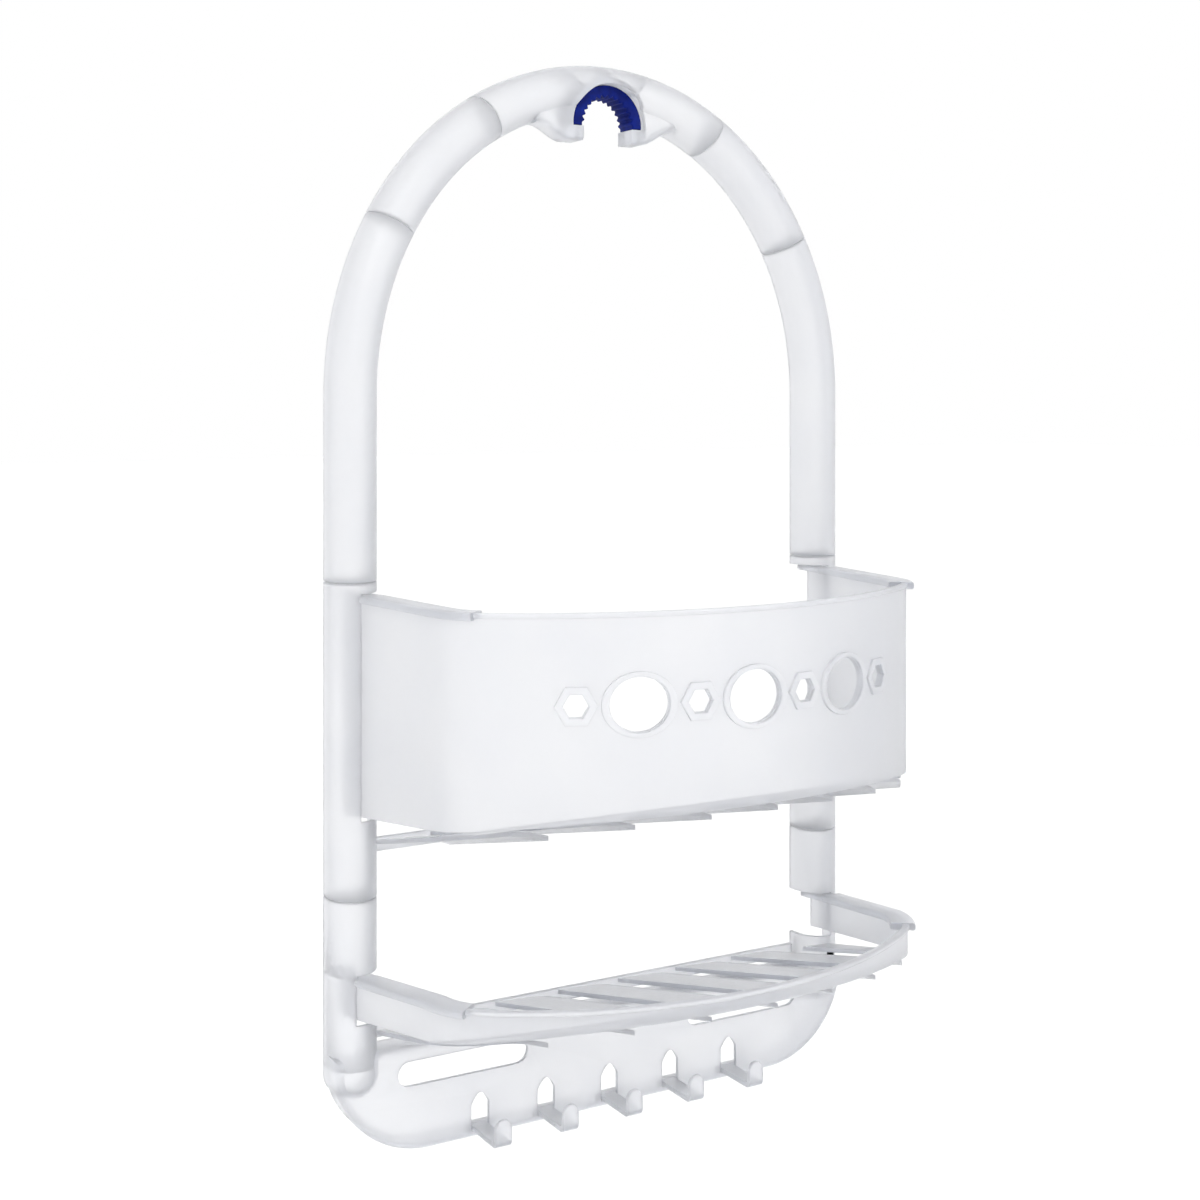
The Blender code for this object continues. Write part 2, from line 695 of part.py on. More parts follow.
def add_opening(flat, number, distance, sizes, collar, corners):
    """Opening through the flat wall with a raised collar round it."""
    height = OPENING_Z - BASKET_RIM_Z
    offsets = (-BASKET_WALL / 2, COLLAR_HEIGHT)
    edge = grow(sizes, (SKIN_STEP, SKIN_STEP))
    outer = [polygon_ring(distance, height, grow(sizes, collar), corners, n) for n in offsets]
    inner = [polygon_ring(distance, height, edge, corners, n) for n in offsets]
    join(flat, tube(f"collar_{number}", outer, inner))
    hole_offsets = (-BASKET_WALL * 2, COLLAR_HEIGHT * 3)
    hole = [polygon_ring(distance, height, sizes, corners, n) for n in hole_offsets]
    return loft(f"opening_{number}", hole)


def add_rim(flat, path):
    """Wide flanges round both corners and a slim bead along the front between them."""
    end = path.front_length + FLANGE_BACK
    outside_start = path.half_length - RAIL_DEPTH - FLANGE_OUT
    inside = BASKET_WALL / 4
    for side in (-1, 1):
        for label, low_n, high_n, far in (
                ("inner", -FLANGE_IN, -inside, path.half_length),
                ("outer", -inside * 2, FLANGE_OUT, outside_start)):
            start, stop = sorted((side * end, side * far))
            stops = path.samples(start, stop)
            thickness = FLANGE_THICKNESS
            if label == "outer":
                thickness -= SKIN_STEP
            name = f"flange_{label}_{side}"
            join(flat, flat_slab(name, stops, low_n, high_n, lambda stop: -thickness, lambda stop: 0.0))
    stops = path.samples(-end - SEAM_OVERLAP, end + SEAM_OVERLAP)
    join(flat, flat_slab("rim_bead", stops, -BEAD_IN, BEAD_OUT, lambda stop: -BEAD_TALL, lambda stop: -SKIN_STEP))


def make_wall(name, width, rim_z, foot, openings):
    path = WallPath(width)
    length = path.half_length
    stops = path.samples(-length, length)
    flat = flat_slab(
        name + "_flat", stops, -BASKET_WALL, 0.0,
        lambda stop: underside(path, stop, foot) - rim_z(stop),
        lambda stop: -SKIN_STEP * 2)
    add_rim(flat, path)
    cutters = []
    if openings:
        for number in range(-3, 4):
            distance = number * OPENING_PITCH
            if number % 2:
                cutters.append(add_opening(flat, number, distance, HEX_OPENING, HEX_COLLAR, 6))
            else:
                cutters.append(add_opening(
                    flat, number, distance, ROUND_OPENING, ROUND_COLLAR, COLLAR_CORNERS))
    for cutter in cutters:
        cut(flat, cutter)
    part = bend(name, flat, path, rim_z)
    flat.hide_render = True
    flat.display_type = "WIRE"
    return finish_part(part, FROSTED)


def basket_rim(distance):
    return BASKET_RIM_Z


def tray_rim_height(y):
    """The tray's rim falls towards the back plane behind the corners."""
    share = 1 - min(1.0, y / WallPath(TRAY_WIDTH).corner_y)
    return TRAY_RIM_Z - TRAY_RIM_DROP * share


def tray_rim(distance):
    return tray_rim_height(WallPath(TRAY_WIDTH).place(distance)[1])


# Louvre floors -----------------------------------------------------------------------

def slat(name, path, left, floor_z, back_y):
    """One sloping slat with a curled low edge, which runs forward to the wall."""
    inset = BASKET_WALL + GAP + SKIN_STEP
    limit = path.half - inset - GAP - (RAIL_DEPTH + SLAT_ROOM) * math.tan(SPLAY)
    width = min(SLAT_PITCH + SLAT_OVERLAP, limit - left)
    rings = []
    for share in SLAT_SHARES:
        x = left + width * share
        front_y = path.inner_front_y(x, inset)
        curl = max(0.0, share - CURL_START) / (1 - CURL_START)
        fall = SLAT_DROP * share + SLAT_CURL * curl ** 2
        corners = []
        for y, lift in ((back_y, 0.0), (front_y, 0.0), (front_y, SLAT_THICKNESS), (back_y, SLAT_THICKNESS)):
            corners.append((x, y, floor_height(floor_z, y) - fall - lift))
        rings.append(corners)
    return loft(name, rings)


def make_floor(name, width, floor_z, foot):
    """Comb of louvres on a back beam, tied together by a strip behind the front wall."""
    path = WallPath(width)
    thickness, height = BACK_BEAM
    end_x = RAIL_SPACING / 2 - RAIL_WIDTH / 2 - GAP
    top = floor_z + SEAM_OVERLAP
    part = box(name, (-end_x, -thickness, top - height), (end_x, 0.0, top))
    inner = BASKET_WALL + GAP
    limit = path.front_length + path.corner_length
    shift = SKIN_STEP * 2
    strip = flat_slab(
        name + "_strip_flat", path.samples(-limit, limit), -inner - FRONT_STRIP, -inner,
        lambda stop: min(underside(path, stop, foot), floor_height(floor_z, path.place(stop)[1])
                         - SLAT_THICKNESS) + shift,
        lambda stop: floor_height(floor_z, path.place(stop)[1]) + shift)
    strip.hide_render = True
    strip.display_type = "WIRE"
    join(part, bend(name + "_strip", strip, path, lambda stop: 0.0))
    for number in range(SLAT_COUNT):
        left = FIRST_SLAT_X + SLAT_PITCH * number
        beside_rail = left + SLAT_PITCH + SLAT_OVERLAP > end_x or left < -end_x
        back_y = -RAIL_DEPTH - SEAM_OVERLAP if beside_rail else -thickness / 2
        join(part, slat(f"{name}_slat_{number}", path, left, floor_z, back_y))
    return finish_part(part, FROSTED)


# Hook panel ------------------------------------------------------------------------------

def panel_outline(inset):
    """Flat top, straight sides and large round lower corners, as (x, z)."""
    half = RAIL_SPACING / 2 + RAIL_WIDTH / 2 - inset
    top = PANEL_TOP_Z - inset
    radius = PANEL_CORNER - inset
    centre_z = PANEL_BOTTOM_Z + PANEL_CORNER
    right = [(half, top)]
    for step in range(PANEL_CORNER_STEPS + 1):
        angle = math.pi / 2 * step / PANEL_CORNER_STEPS
        x = half - radius + radius * math.cos(angle)
        z = centre_z - radius * math.sin(angle)
        if z < top - SEAM_OVERLAP:
            right.append((x, z))
    left = [(-x, z) for x, z in reversed(right)]
    return right + left


def stadium(near, far, z, height, segments=8):
    """Round-ended slot outline between two distances from the middle."""
    radius = height / 2
    points = []
    for centre, start in ((far - radius, -math.pi / 2), (near + radius, math.pi / 2)):
        for step in range(segments + 1):
            angle = start + math.pi * step / segments
            points.append((centre + radius * math.cos(angle), z + radius * math.sin(angle)))
    return points


def window(x):
    """Opening with a softly pointed arch, as (x, z)."""
    half = WINDOW_WIDTH / 2
    spring_z = WINDOW_BOTTOM_Z + WINDOW_HEIGHT - WINDOW_ARCH
    points = [(x - half, WINDOW_BOTTOM_Z), (x + half, WINDOW_BOTTOM_Z)]
    for step in range(-WINDOW_STEPS, WINDOW_STEPS + 1):
        share = -step / WINDOW_STEPS
        points.append((x + half * share, spring_z + WINDOW_ARCH * (1 - abs(share) ** ARCH_POWER)))
    return points


def hook_places():
    middle = (HOOK_COUNT - 1) / 2
    return [(number - middle) * HOOK_PITCH for number in range(HOOK_COUNT)]


def make_panel():
    """Dished plate below the tray with slots, hook windows and a return wall."""
    part = extrude_y("hook_panel", panel_outline(0.0), 0.0, -PANEL_DEPTH)
    front = -PANEL_DEPTH + PANEL_WALL
    cut(part, extrude_y("panel_hollow", panel_outline(PANEL_WALL), SEAM_OVERLAP, front))
    past = -PANEL_DEPTH - SEAM_OVERLAP
    for side in (-1, 1):
        outline = [(side * x, z) for x, z in stadium(SLOT_NEAR_X, SLOT_FAR_X, SLOT_Z, SLOT_HEIGHT)]
        cut(part, extrude_y(f"panel_slot_{side}", outline, SEAM_OVERLAP * 2, past))
        room = foot_sweep(f"post_room_{side}", side, PANEL_TOP_Z + SEAM_OVERLAP, -GAP, SEAM_OVERLAP * 3)
        cut(part, room)
    for number, x in enumerate(hook_places()):
        cut(part, extrude_y(f"panel_window_{number}", window(x), SEAM_OVERLAP * 2, past))
    return finish_part(part, FROSTED)


def make_hook(number, x):
    """J-shaped hook, pushed through its window from behind up to its wide root."""
    face_y = -PANEL_DEPTH
    tip_y = face_y - HOOK_REACH
    root_y = face_y + PANEL_WALL + GAP
    low = WINDOW_BOTTOM_Z + GAP
    high = low + HOOK_THICKNESS
    top = low + HOOK_HEIGHT
    back_y = tip_y + HOOK_THICKNESS
    outline = [
        (root_y + HOOK_ROOT / 2, high),
        (back_y + HOOK_BEVEL, high),
        (back_y, high + HOOK_BEVEL),
        (back_y, top - HOOK_BEVEL),
        (back_y - HOOK_BEVEL, top),
        (tip_y + HOOK_BEVEL, top),
        (tip_y, top - HOOK_BEVEL),
        (tip_y, low + HOOK_BEVEL),
        (tip_y + HOOK_BEVEL, low),
        (root_y + HOOK_ROOT / 2, low),
    ]
    rings = [[(x + side * HOOK_WIDTH / 2, y, z) for y, z in outline] for side in (-1, 1)]
    part = loft(f"hook_{number + 1}", rings)
    half = WINDOW_WIDTH / 2 + HOOK_ROOT
    root_low = low - HOOK_ROOT / 4
    join(part, box(f"{part.name}_root", (x - half, root_y, root_low), (x + half, root_y + HOOK_ROOT, high + GAP)))
    return finish_part(part, FROSTED)


def main():
    clear_scene()
    make_crown()
    make_grip()
    for side_name, side in (("left", -1), ("right", 1)):
        make_shoulder(side_name, side)
        make_leg(side_name, side)
        make_basket_post(side_name, side)
        make_tray_post(side_name, side)
    basket_foot = (BASKET_SIDE_BOTTOM_Z, BASKET_FLOOR_Z + BASKET_FOOT_LIFT, BASKET_FOOT_RISE)
    make_wall("basket_wall", BASKET_WIDTH, basket_rim, basket_foot, True)
    make_floor("basket_floor", BASKET_WIDTH, BASKET_FLOOR_Z, basket_foot)
    tray_foot = (TRAY_SIDE_BOTTOM_Z, TRAY_FLOOR_Z + TRAY_FOOT_LIFT, TRAY_FOOT_RISE)
    make_wall("tray_wall", TRAY_WIDTH, tray_rim, tray_foot, False)
    make_floor("tray_floor", TRAY_WIDTH, TRAY_FLOOR_Z, tray_foot)
    make_panel()
    for number, x in enumerate(hook_places()):
        make_hook(number, x)


main()
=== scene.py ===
"""Hanging shower caddy in frosted plastic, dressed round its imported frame.

The frame is a row of back-open channel sections that meet web to web under an arched
top. A waved rubber grip sits in the saddle at the crown, a bowed basket and a tray hang
between the two rails, and a dished panel below the tray carries the hooks. X runs along
the caddy, -Y points away from the wall, Z is up, and lengths are in metres.
"""
import sys

import logging
import math
from dataclasses import dataclass, field
from enum import Enum
from typing import Callable, Sequence

import bmesh
import bpy
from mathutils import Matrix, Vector

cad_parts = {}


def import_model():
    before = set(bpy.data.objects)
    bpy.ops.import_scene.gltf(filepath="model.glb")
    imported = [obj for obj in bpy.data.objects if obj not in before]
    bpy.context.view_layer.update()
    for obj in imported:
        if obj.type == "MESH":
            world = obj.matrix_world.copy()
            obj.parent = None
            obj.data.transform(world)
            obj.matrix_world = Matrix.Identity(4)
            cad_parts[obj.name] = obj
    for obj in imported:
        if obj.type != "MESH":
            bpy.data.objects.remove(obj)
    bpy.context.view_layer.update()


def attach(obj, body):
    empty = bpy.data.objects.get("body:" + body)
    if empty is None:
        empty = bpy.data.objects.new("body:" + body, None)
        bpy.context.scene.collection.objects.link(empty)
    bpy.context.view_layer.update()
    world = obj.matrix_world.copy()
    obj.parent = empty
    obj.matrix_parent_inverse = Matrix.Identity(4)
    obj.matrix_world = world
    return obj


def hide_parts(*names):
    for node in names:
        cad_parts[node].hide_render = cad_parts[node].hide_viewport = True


LOG = logging.getLogger("shower_caddy")

Point2 = tuple[float, float]
Point3 = tuple[float, float, float]
Station = tuple[float, float, float, float]
Height = Callable[[float], float]

GAP = 0.0003
SEAM = 0.0010
SKIN = 0.0002
WELD = 1e-7
LEAST_STOP = 0.0001


class Side(Enum):
    """The caddy's two sides, by the sign of X."""

    LEFT = -1
    RIGHT = 1

    @property
    def label(self) -> str:
        """Lower-case name used in piece and node names."""
        return self.name.lower()


class Operation(Enum):
    """How two solids are combined."""

    JOIN = "UNION"
    CUT = "DIFFERENCE"


# Mesh tools -------------------------------------------------------------------------


def link_mesh(name: str, mesh: bpy.types.Mesh) -> bpy.types.Object:
    """Put a mesh into the scene.

    Args:
        name: Name of the new object.
        mesh: Mesh it shows.

    Returns:
        The linked object, at the origin.
    """
    item = bpy.data.objects.new(name, mesh)
    bpy.context.scene.collection.objects.link(item)
    return item


def solid(name: str, points: Sequence[Sequence[float]], faces: Sequence[Sequence[int]]) -> bpy.types.Object:
    """Make a closed mesh whose faces point outwards.

    Args:
        name: Name of the new object.
        points: Corner positions.
        faces: Corner numbers of each face.

    Returns:
        The new object.
    """
    mesh = bpy.data.meshes.new(name)
    mesh.from_pydata([tuple(point) for point in points], [], faces)
    shell = bmesh.new()
    shell.from_mesh(mesh)
    bmesh.ops.remove_doubles(shell, verts=shell.verts, dist=WELD)
    bmesh.ops.recalc_face_normals(shell, faces=shell.faces)
    shell.to_mesh(mesh)
    shell.free()
    return link_mesh(name, mesh)


def loft(name: str, rings: Sequence[Sequence[Sequence[float]]],
         ring_shaped: bool = False) -> bpy.types.Object:
    """Join rings of equal length into one solid.

    Args:
        name: Name of the new object.
        rings: Rings of points, all of the same length.
        ring_shaped: Join the last ring to the first instead of closing both ends flat.

    Returns:
        The new object.
    """
    size = len(rings[0])
    points = [point for ring in rings for point in ring]
    rows = len(rings)
    spans = rows if ring_shaped else rows - 1
    faces: list[tuple[int, ...]] = []
    for row in range(spans):
        first = row * size
        second = (row + 1) % rows * size
        for column in range(size):
            after = (column + 1) % size
            faces.append((first + column, first + after, second + after, second + column))
    if not ring_shaped:
        faces.append(tuple(reversed(range(size))))
        faces.append(tuple(range(len(points) - size, len(points))))
    return solid(name, points, faces)


def box(name: str, low: Point3, high: Point3) -> bpy.types.Object:
    """Make a plain block, used only as a cutter or as the core of a joined shape.

    Args:
        name: Name of the new object.
        low: Lowest corner.
        high: Highest corner.

    Returns:
        The new object.
    """
    ring = [(low[0], low[1]), (high[0], low[1]), (high[0], high[1]), (low[0], high[1])]
    return loft(name, [[(x, y, z) for x, y in ring] for z in (low[2], high[2])])


def combine(item: bpy.types.Object, other: bpy.types.Object, operation: Operation) -> None:
    """Combine a solid with a helper solid, which is then thrown away.

    Args:
        item: Solid that is changed.
        other: Helper solid.
        operation: Join or cut.
    """
    step = item.modifiers.new(other.name, "BOOLEAN")
    step.object = other
    step.operation = operation.value
    step.solver = "EXACT"
    settle(item)
    bpy.data.objects.remove(other, do_unlink=True)


def settle(item: bpy.types.Object) -> bpy.types.Object:
    """Turn an object's modifiers into plain mesh.

    Args:
        item: Object to settle.

    Returns:
        The same object.
    """
    graph = bpy.context.evaluated_depsgraph_get()
    graph.update()
    mesh = bpy.data.meshes.new_from_object(item.evaluated_get(graph))
    item.modifiers.clear()
    item.data = mesh
    return item


def soften(item: bpy.types.Object, width: float, segments: int = 2, angle: float = 50.0) -> bpy.types.Object:
    """Round the sharp edges of a solid.

    Args:
        item: Solid to round.
        width: Width of the rounding.
        segments: Steps in each rounding.
        angle: Least angle, in degrees, of an edge that is rounded.

    Returns:
        The same object.
    """
    step = item.modifiers.new("rounding", "BEVEL")
    step.width = width
    step.segments = segments
    step.limit_method = "ANGLE"
    step.angle_limit = math.radians(angle)
    step.use_clamp_overlap = True
    return settle(item)


def smooth(item: bpy.types.Object, angle: float = 32.0) -> bpy.types.Object:
    """Shade a piece smooth, apart from its true edges.

    Args:
        item: Piece to shade.
        angle: Least angle, in degrees, of an edge that stays sharp.

    Returns:
        The same object.
    """
    item.data.shade_smooth()
    item.data.set_sharp_from_angle(angle=math.radians(angle))
    return item


def arc(radius: float, start: float, end: float, steps: int) -> list[Point2]:
    """Points on an arc about the origin.

    Args:
        radius: Radius of the arc.
        start: First angle, in radians.
        end: Last angle, in radians.
        steps: Number of steps between them.

    Returns:
        The points, both ends included.
    """
    angles = [start + (end - start) * step / steps for step in range(steps + 1)]
    return [(radius * math.cos(angle), radius * math.sin(angle)) for angle in angles]


def offset_line(points: Sequence[Point2], distance: float) -> list[Point2]:
    """Move an open line to its left, with mitred corners.

    Args:
        points: Points of the line.
        distance: How far it moves.

    Returns:
        The moved points, as many as came in.
    """
    normals = []
    for first, second in zip(points, points[1:]):
        along = (Vector(second) - Vector(first)).normalized()
        normals.append(Vector((-along.y, along.x)))
    moved = []
    for number, point in enumerate(points):
        before = normals[max(number - 1, 0)]
        after = normals[min(number, len(normals) - 1)]
        shift = (before + after) * distance / (1 + before.dot(after))
        moved.append((point[0] + shift.x, point[1] + shift.y))
    return moved


def plate(name: str, outline: Sequence[Point2], back_y: float, front_y: float) -> bpy.types.Object:
    """Extrude an (x, z) outline from back to front.

    Args:
        name: Name of the new object.
        outline: Closed outline.
        back_y: Depth of the rear face.
        front_y: Depth of the front face.

    Returns:
        The new object.
    """
    return loft(name, [[(x, y, z) for x, z in outline] for y in (back_y, front_y)])


def rounded_plate(name: str, outline: Callable[[float], list[Point2]], back_y: float, front_y: float,
                  radius: float, steps: int = 5) -> bpy.types.Object:
    """Extrude an outline whose front edge is rounded.

    Args:
        name: Name of the new object.
        outline: Closed (x, z) outline for a given inset.
        back_y: Depth of the rear face.
        front_y: Depth of the front face.
        radius: Radius of the rounding.
        steps: Steps in the rounding.

    Returns:
        The new object.
    """
    rings = [[(x, back_y, z) for x, z in outline(0.0)]]
    for step in range(steps + 1):
        angle = math.pi / 2 * step / steps
        y = front_y + radius * (1 - math.sin(angle))
        inset = radius * (1 - math.cos(angle))
        rings.append([(x, y, z) for x, z in outline(inset)])
    return loft(name, rings)


# Geometry node tools ------------------------------------------------------------------


class Graph:
    """A geometry node tree with named inputs, built a node at a time."""

    def __init__(self, name: str) -> None:
        """Start an empty tree.

        Args:
            name: Name of the tree.
        """
        self.tree = bpy.data.node_groups.new(name, "GeometryNodeTree")
        self.tree.interface.new_socket(name="Geometry", in_out="OUTPUT", socket_type="NodeSocketGeometry")
        self.entry = self.tree.nodes.new("NodeGroupInput")
        self.exit = self.tree.nodes.new("NodeGroupOutput")
        self.defaults: dict[str, object] = {}

    def value(self, name: str, kind: str, default: object) -> bpy.types.NodeSocket:
        """Add a named input.

        Args:
            name: Name shown on the modifier.
            kind: Socket type, such as NodeSocketFloat.
            default: Value it is given on the modifier.

        Returns:
            The socket that carries it inside the tree.
        """
        entry = self.tree.interface.new_socket(name=name, in_out="INPUT", socket_type=kind)
        self.defaults[entry.identifier] = default
        return self.entry.outputs[name]

    def add(self, kind: str, **settings: object) -> bpy.types.Node:
        """Add a node.

        Args:
            kind: Node type.
            settings: Properties set on it.

        Returns:
            The node.
        """
        node = self.tree.nodes.new(kind)
        for key, setting in settings.items():
            setattr(node, key, setting)
        return node

    def feed(self, socket: bpy.types.NodeSocket, source: object) -> None:
        """Link a socket to another one, or give it a plain value.

        Args:
            socket: Input socket.
            source: Output socket or value.
        """
        if isinstance(source, bpy.types.NodeSocket):
            self.tree.links.new(source, socket)
        else:
            socket.default_value = source

    def sum(self, operation: str, first: object, second: object = 0.0) -> bpy.types.NodeSocket:
        """Add a math node.

        Args:
            operation: Its operation, such as MULTIPLY.
            first: First operand.
            second: Second operand.

        Returns:
            Its result.
        """
        node = self.add("ShaderNodeMath", operation=operation)
        self.feed(node.inputs[0], first)
        self.feed(node.inputs[1], second)
        return node.outputs[0]

    def vector(self, x: object, y: object, z: object) -> bpy.types.NodeSocket:
        """Join three numbers into a vector.

        Args:
            x: First part.
            y: Second part.
            z: Third part.

        Returns:
            The vector's socket.
        """
        node = self.add("ShaderNodeCombineXYZ")
        for socket, source in zip(node.inputs, (x, y, z)):
            self.feed(socket, source)
        return node.outputs[0]

    def realise(self, geometry: bpy.types.NodeSocket, material: bpy.types.NodeSocket) -> None:
        """End the tree: real geometry with its material set.

        Args:
            geometry: Geometry or instances.
            material: Socket of the material input.
        """
        real = self.add("GeometryNodeRealizeInstances")
        self.feed(real.inputs[0], geometry)
        dress = self.add("GeometryNodeSetMaterial")
        self.feed(dress.inputs["Geometry"], real.outputs[0])
        self.feed(dress.inputs["Material"], material)
        self.feed(self.exit.inputs[0], dress.outputs[0])

    def run(self, name: str) -> bpy.types.Object:
        """Evaluate the tree on an empty mesh.

        Args:
            name: Name of the new object.

        Returns:
            An object that holds the result as plain mesh.
        """
        item = link_mesh(name, bpy.data.meshes.new(name))
        step = item.modifiers.new(name, "NODES")
        step.node_group = self.tree
        for identifier, default in self.defaults.items():
            step[identifier] = default
        return settle(item)


# Finishes -------------------------------------------------------------------------------


@dataclass(frozen=True)
class FrostedPlastic:
    """Milky moulded polypropylene: fine satin grain over a faintly uneven body."""

    name: str = "frosted_plastic"
    tint: tuple[float, float, float] = (0.932, 0.936, 0.950)
    dense_tint: tuple[float, float, float] = (0.904, 0.910, 0.930)
    absorbed: tuple[float, float, float] = (0.66, 0.70, 0.80)
    density: float = 40.0
    transmission: float = 0.72
    ior: float = 1.42
    specular: float = 0.5
    smoothest: float = 0.30
    roughest: float = 0.42
    cloud_scale: float = 34.0
    cloud_detail: float = 3.0
    cloud_range: Point2 = (0.35, 0.65)
    grain_scale: float = 420.0
    grain_detail: float = 2.0
    grain_depth: float = 0.00006

    def build(self) -> bpy.types.Material:
        """Make the material.

        Returns:
            The new material.
        """
        material = bpy.data.materials.new(self.name)
        material.use_nodes = True
        tree = material.node_tree
        shader = tree.nodes["Principled BSDF"]
        shader.inputs["Transmission Weight"].default_value = self.transmission
        shader.inputs["IOR"].default_value = self.ior
        shader.inputs["Specular IOR Level"].default_value = self.specular
        depth = tree.nodes.new("ShaderNodeVolumeAbsorption")
        depth.inputs["Color"].default_value = (*self.absorbed, 1.0)
        depth.inputs["Density"].default_value = self.density
        tree.links.new(depth.outputs["Volume"], tree.nodes["Material Output"].inputs["Volume"])
        place = tree.nodes.new("ShaderNodeTexCoord")
        cloud = tree.nodes.new("ShaderNodeTexNoise")
        cloud.inputs["Scale"].default_value = self.cloud_scale
        cloud.inputs["Detail"].default_value = self.cloud_detail
        tree.links.new(place.outputs["Object"], cloud.inputs["Vector"])
        tint = tree.nodes.new("ShaderNodeValToRGB")
        tint.color_ramp.elements[0].position = self.cloud_range[0]
        tint.color_ramp.elements[0].color = (*self.dense_tint, 1.0)
        tint.color_ramp.elements[1].position = self.cloud_range[1]
        tint.color_ramp.elements[1].color = (*self.tint, 1.0)
        tree.links.new(cloud.outputs["Fac"], tint.inputs["Fac"])
        tree.links.new(tint.outputs["Color"], shader.inputs["Base Color"])
        grain = tree.nodes.new("ShaderNodeTexNoise")
        grain.inputs["Scale"].default_value = self.grain_scale
        grain.inputs["Detail"].default_value = self.grain_detail
        tree.links.new(place.outputs["Object"], grain.inputs["Vector"])
        gloss = tree.nodes.new("ShaderNodeMapRange")
        gloss.inputs["To Min"].default_value = self.smoothest
        gloss.inputs["To Max"].default_value = self.roughest
        tree.links.new(grain.outputs["Fac"], gloss.inputs["Value"])
        tree.links.new(gloss.outputs["Result"], shader.inputs["Roughness"])
        bump = tree.nodes.new("ShaderNodeBump")
        bump.inputs["Distance"].default_value = self.grain_depth
        tree.links.new(grain.outputs["Fac"], bump.inputs["Height"])
        tree.links.new(bump.outputs["Normal"], shader.inputs["Normal"])
        return material


@dataclass(frozen=True)
class SoftRubber:
    """Deep blue thermoplastic rubber, satin, with a faint moulded texture."""

    name: str = "blue_rubber"
    deep: tuple[float, float, float] = (0.0005, 0.006, 0.110)
    bright: tuple[float, float, float] = (0.001, 0.012, 0.190)
    roughness: float = 0.55
    specular: float = 0.12
    ior: float = 1.5
    blotch_scale: float = 260.0
    blotch_range: Point2 = (0.3, 0.7)
    grain_scale: float = 1400.0
    grain_depth: float = 0.00004

    def build(self) -> bpy.types.Material:
        """Make the material.

        Returns:
            The new material.
        """
        material = bpy.data.materials.new(self.name)
        material.use_nodes = True
        tree = material.node_tree
        shader = tree.nodes["Principled BSDF"]
        shader.inputs["Roughness"].default_value = self.roughness
        shader.inputs["IOR"].default_value = self.ior
        shader.inputs["Specular IOR Level"].default_value = self.specular
        place = tree.nodes.new("ShaderNodeTexCoord")
        blotch = tree.nodes.new("ShaderNodeTexNoise")
        blotch.inputs["Scale"].default_value = self.blotch_scale
        tree.links.new(place.outputs["Object"], blotch.inputs["Vector"])
        tint = tree.nodes.new("ShaderNodeValToRGB")
        tint.color_ramp.elements[0].position = self.blotch_range[0]
        tint.color_ramp.elements[0].color = (*self.deep, 1.0)
        tint.color_ramp.elements[1].position = self.blotch_range[1]
        tint.color_ramp.elements[1].color = (*self.bright, 1.0)
        tree.links.new(blotch.outputs["Fac"], tint.inputs["Fac"])
        tree.links.new(tint.outputs["Color"], shader.inputs["Base Color"])
        grain = tree.nodes.new("ShaderNodeTexNoise")
        grain.inputs["Scale"].default_value = self.grain_scale
        tree.links.new(place.outputs["Object"], grain.inputs["Vector"])
        bump = tree.nodes.new("ShaderNodeBump")
        bump.inputs["Distance"].default_value = self.grain_depth
        tree.links.new(grain.outputs["Fac"], bump.inputs["Height"])
        tree.links.new(bump.outputs["Normal"], shader.inputs["Normal"])
        return material


@dataclass(frozen=True)
class StudioWhite:
    """Matt white of the floor."""

    name: str = "studio_white"
    colour: tuple[float, float, float] = (0.93, 0.93, 0.93)
    glow: float = 0.09
    roughness: float = 0.9

    def build(self) -> bpy.types.Material:
        """Make the material.

        Returns:
            The new material.
        """
        material = bpy.data.materials.new(self.name)
        material.use_nodes = True
        shader = material.node_tree.nodes["Principled BSDF"]
        shader.inputs["Base Color"].default_value = (*self.colour, 1.0)
        shader.inputs["Roughness"].default_value = self.roughness
        shader.inputs["Emission Color"].default_value = (1.0, 1.0, 1.0, 1.0)
        shader.inputs["Emission Strength"].default_value = self.glow
        return material


@dataclass
class Finishes:
    """The materials that the pieces share."""

    plastic: bpy.types.Material
    rubber: bpy.types.Material


def hand_over(piece: bpy.types.Object, material: bpy.types.Material, slot: str,
              *nodes: str) -> bpy.types.Object:
    """Dress a finished piece and let it stand for its frame nodes.

    Args:
        piece: Finished piece.
        material: Its material.
        slot: Name of a material slot; not used.
        nodes: Frame nodes that it replaces.

    Returns:
        The same piece.
    """
    piece.data.materials.clear()
    piece.data.materials.append(material)
    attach(piece, "root")
    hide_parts(*nodes)
    LOG.info("%s: %d faces, stands for %s", piece.name, len(piece.data.polygons), ", ".join(nodes))
    return piece


# Frame -------------------------------------------------------------------------------------


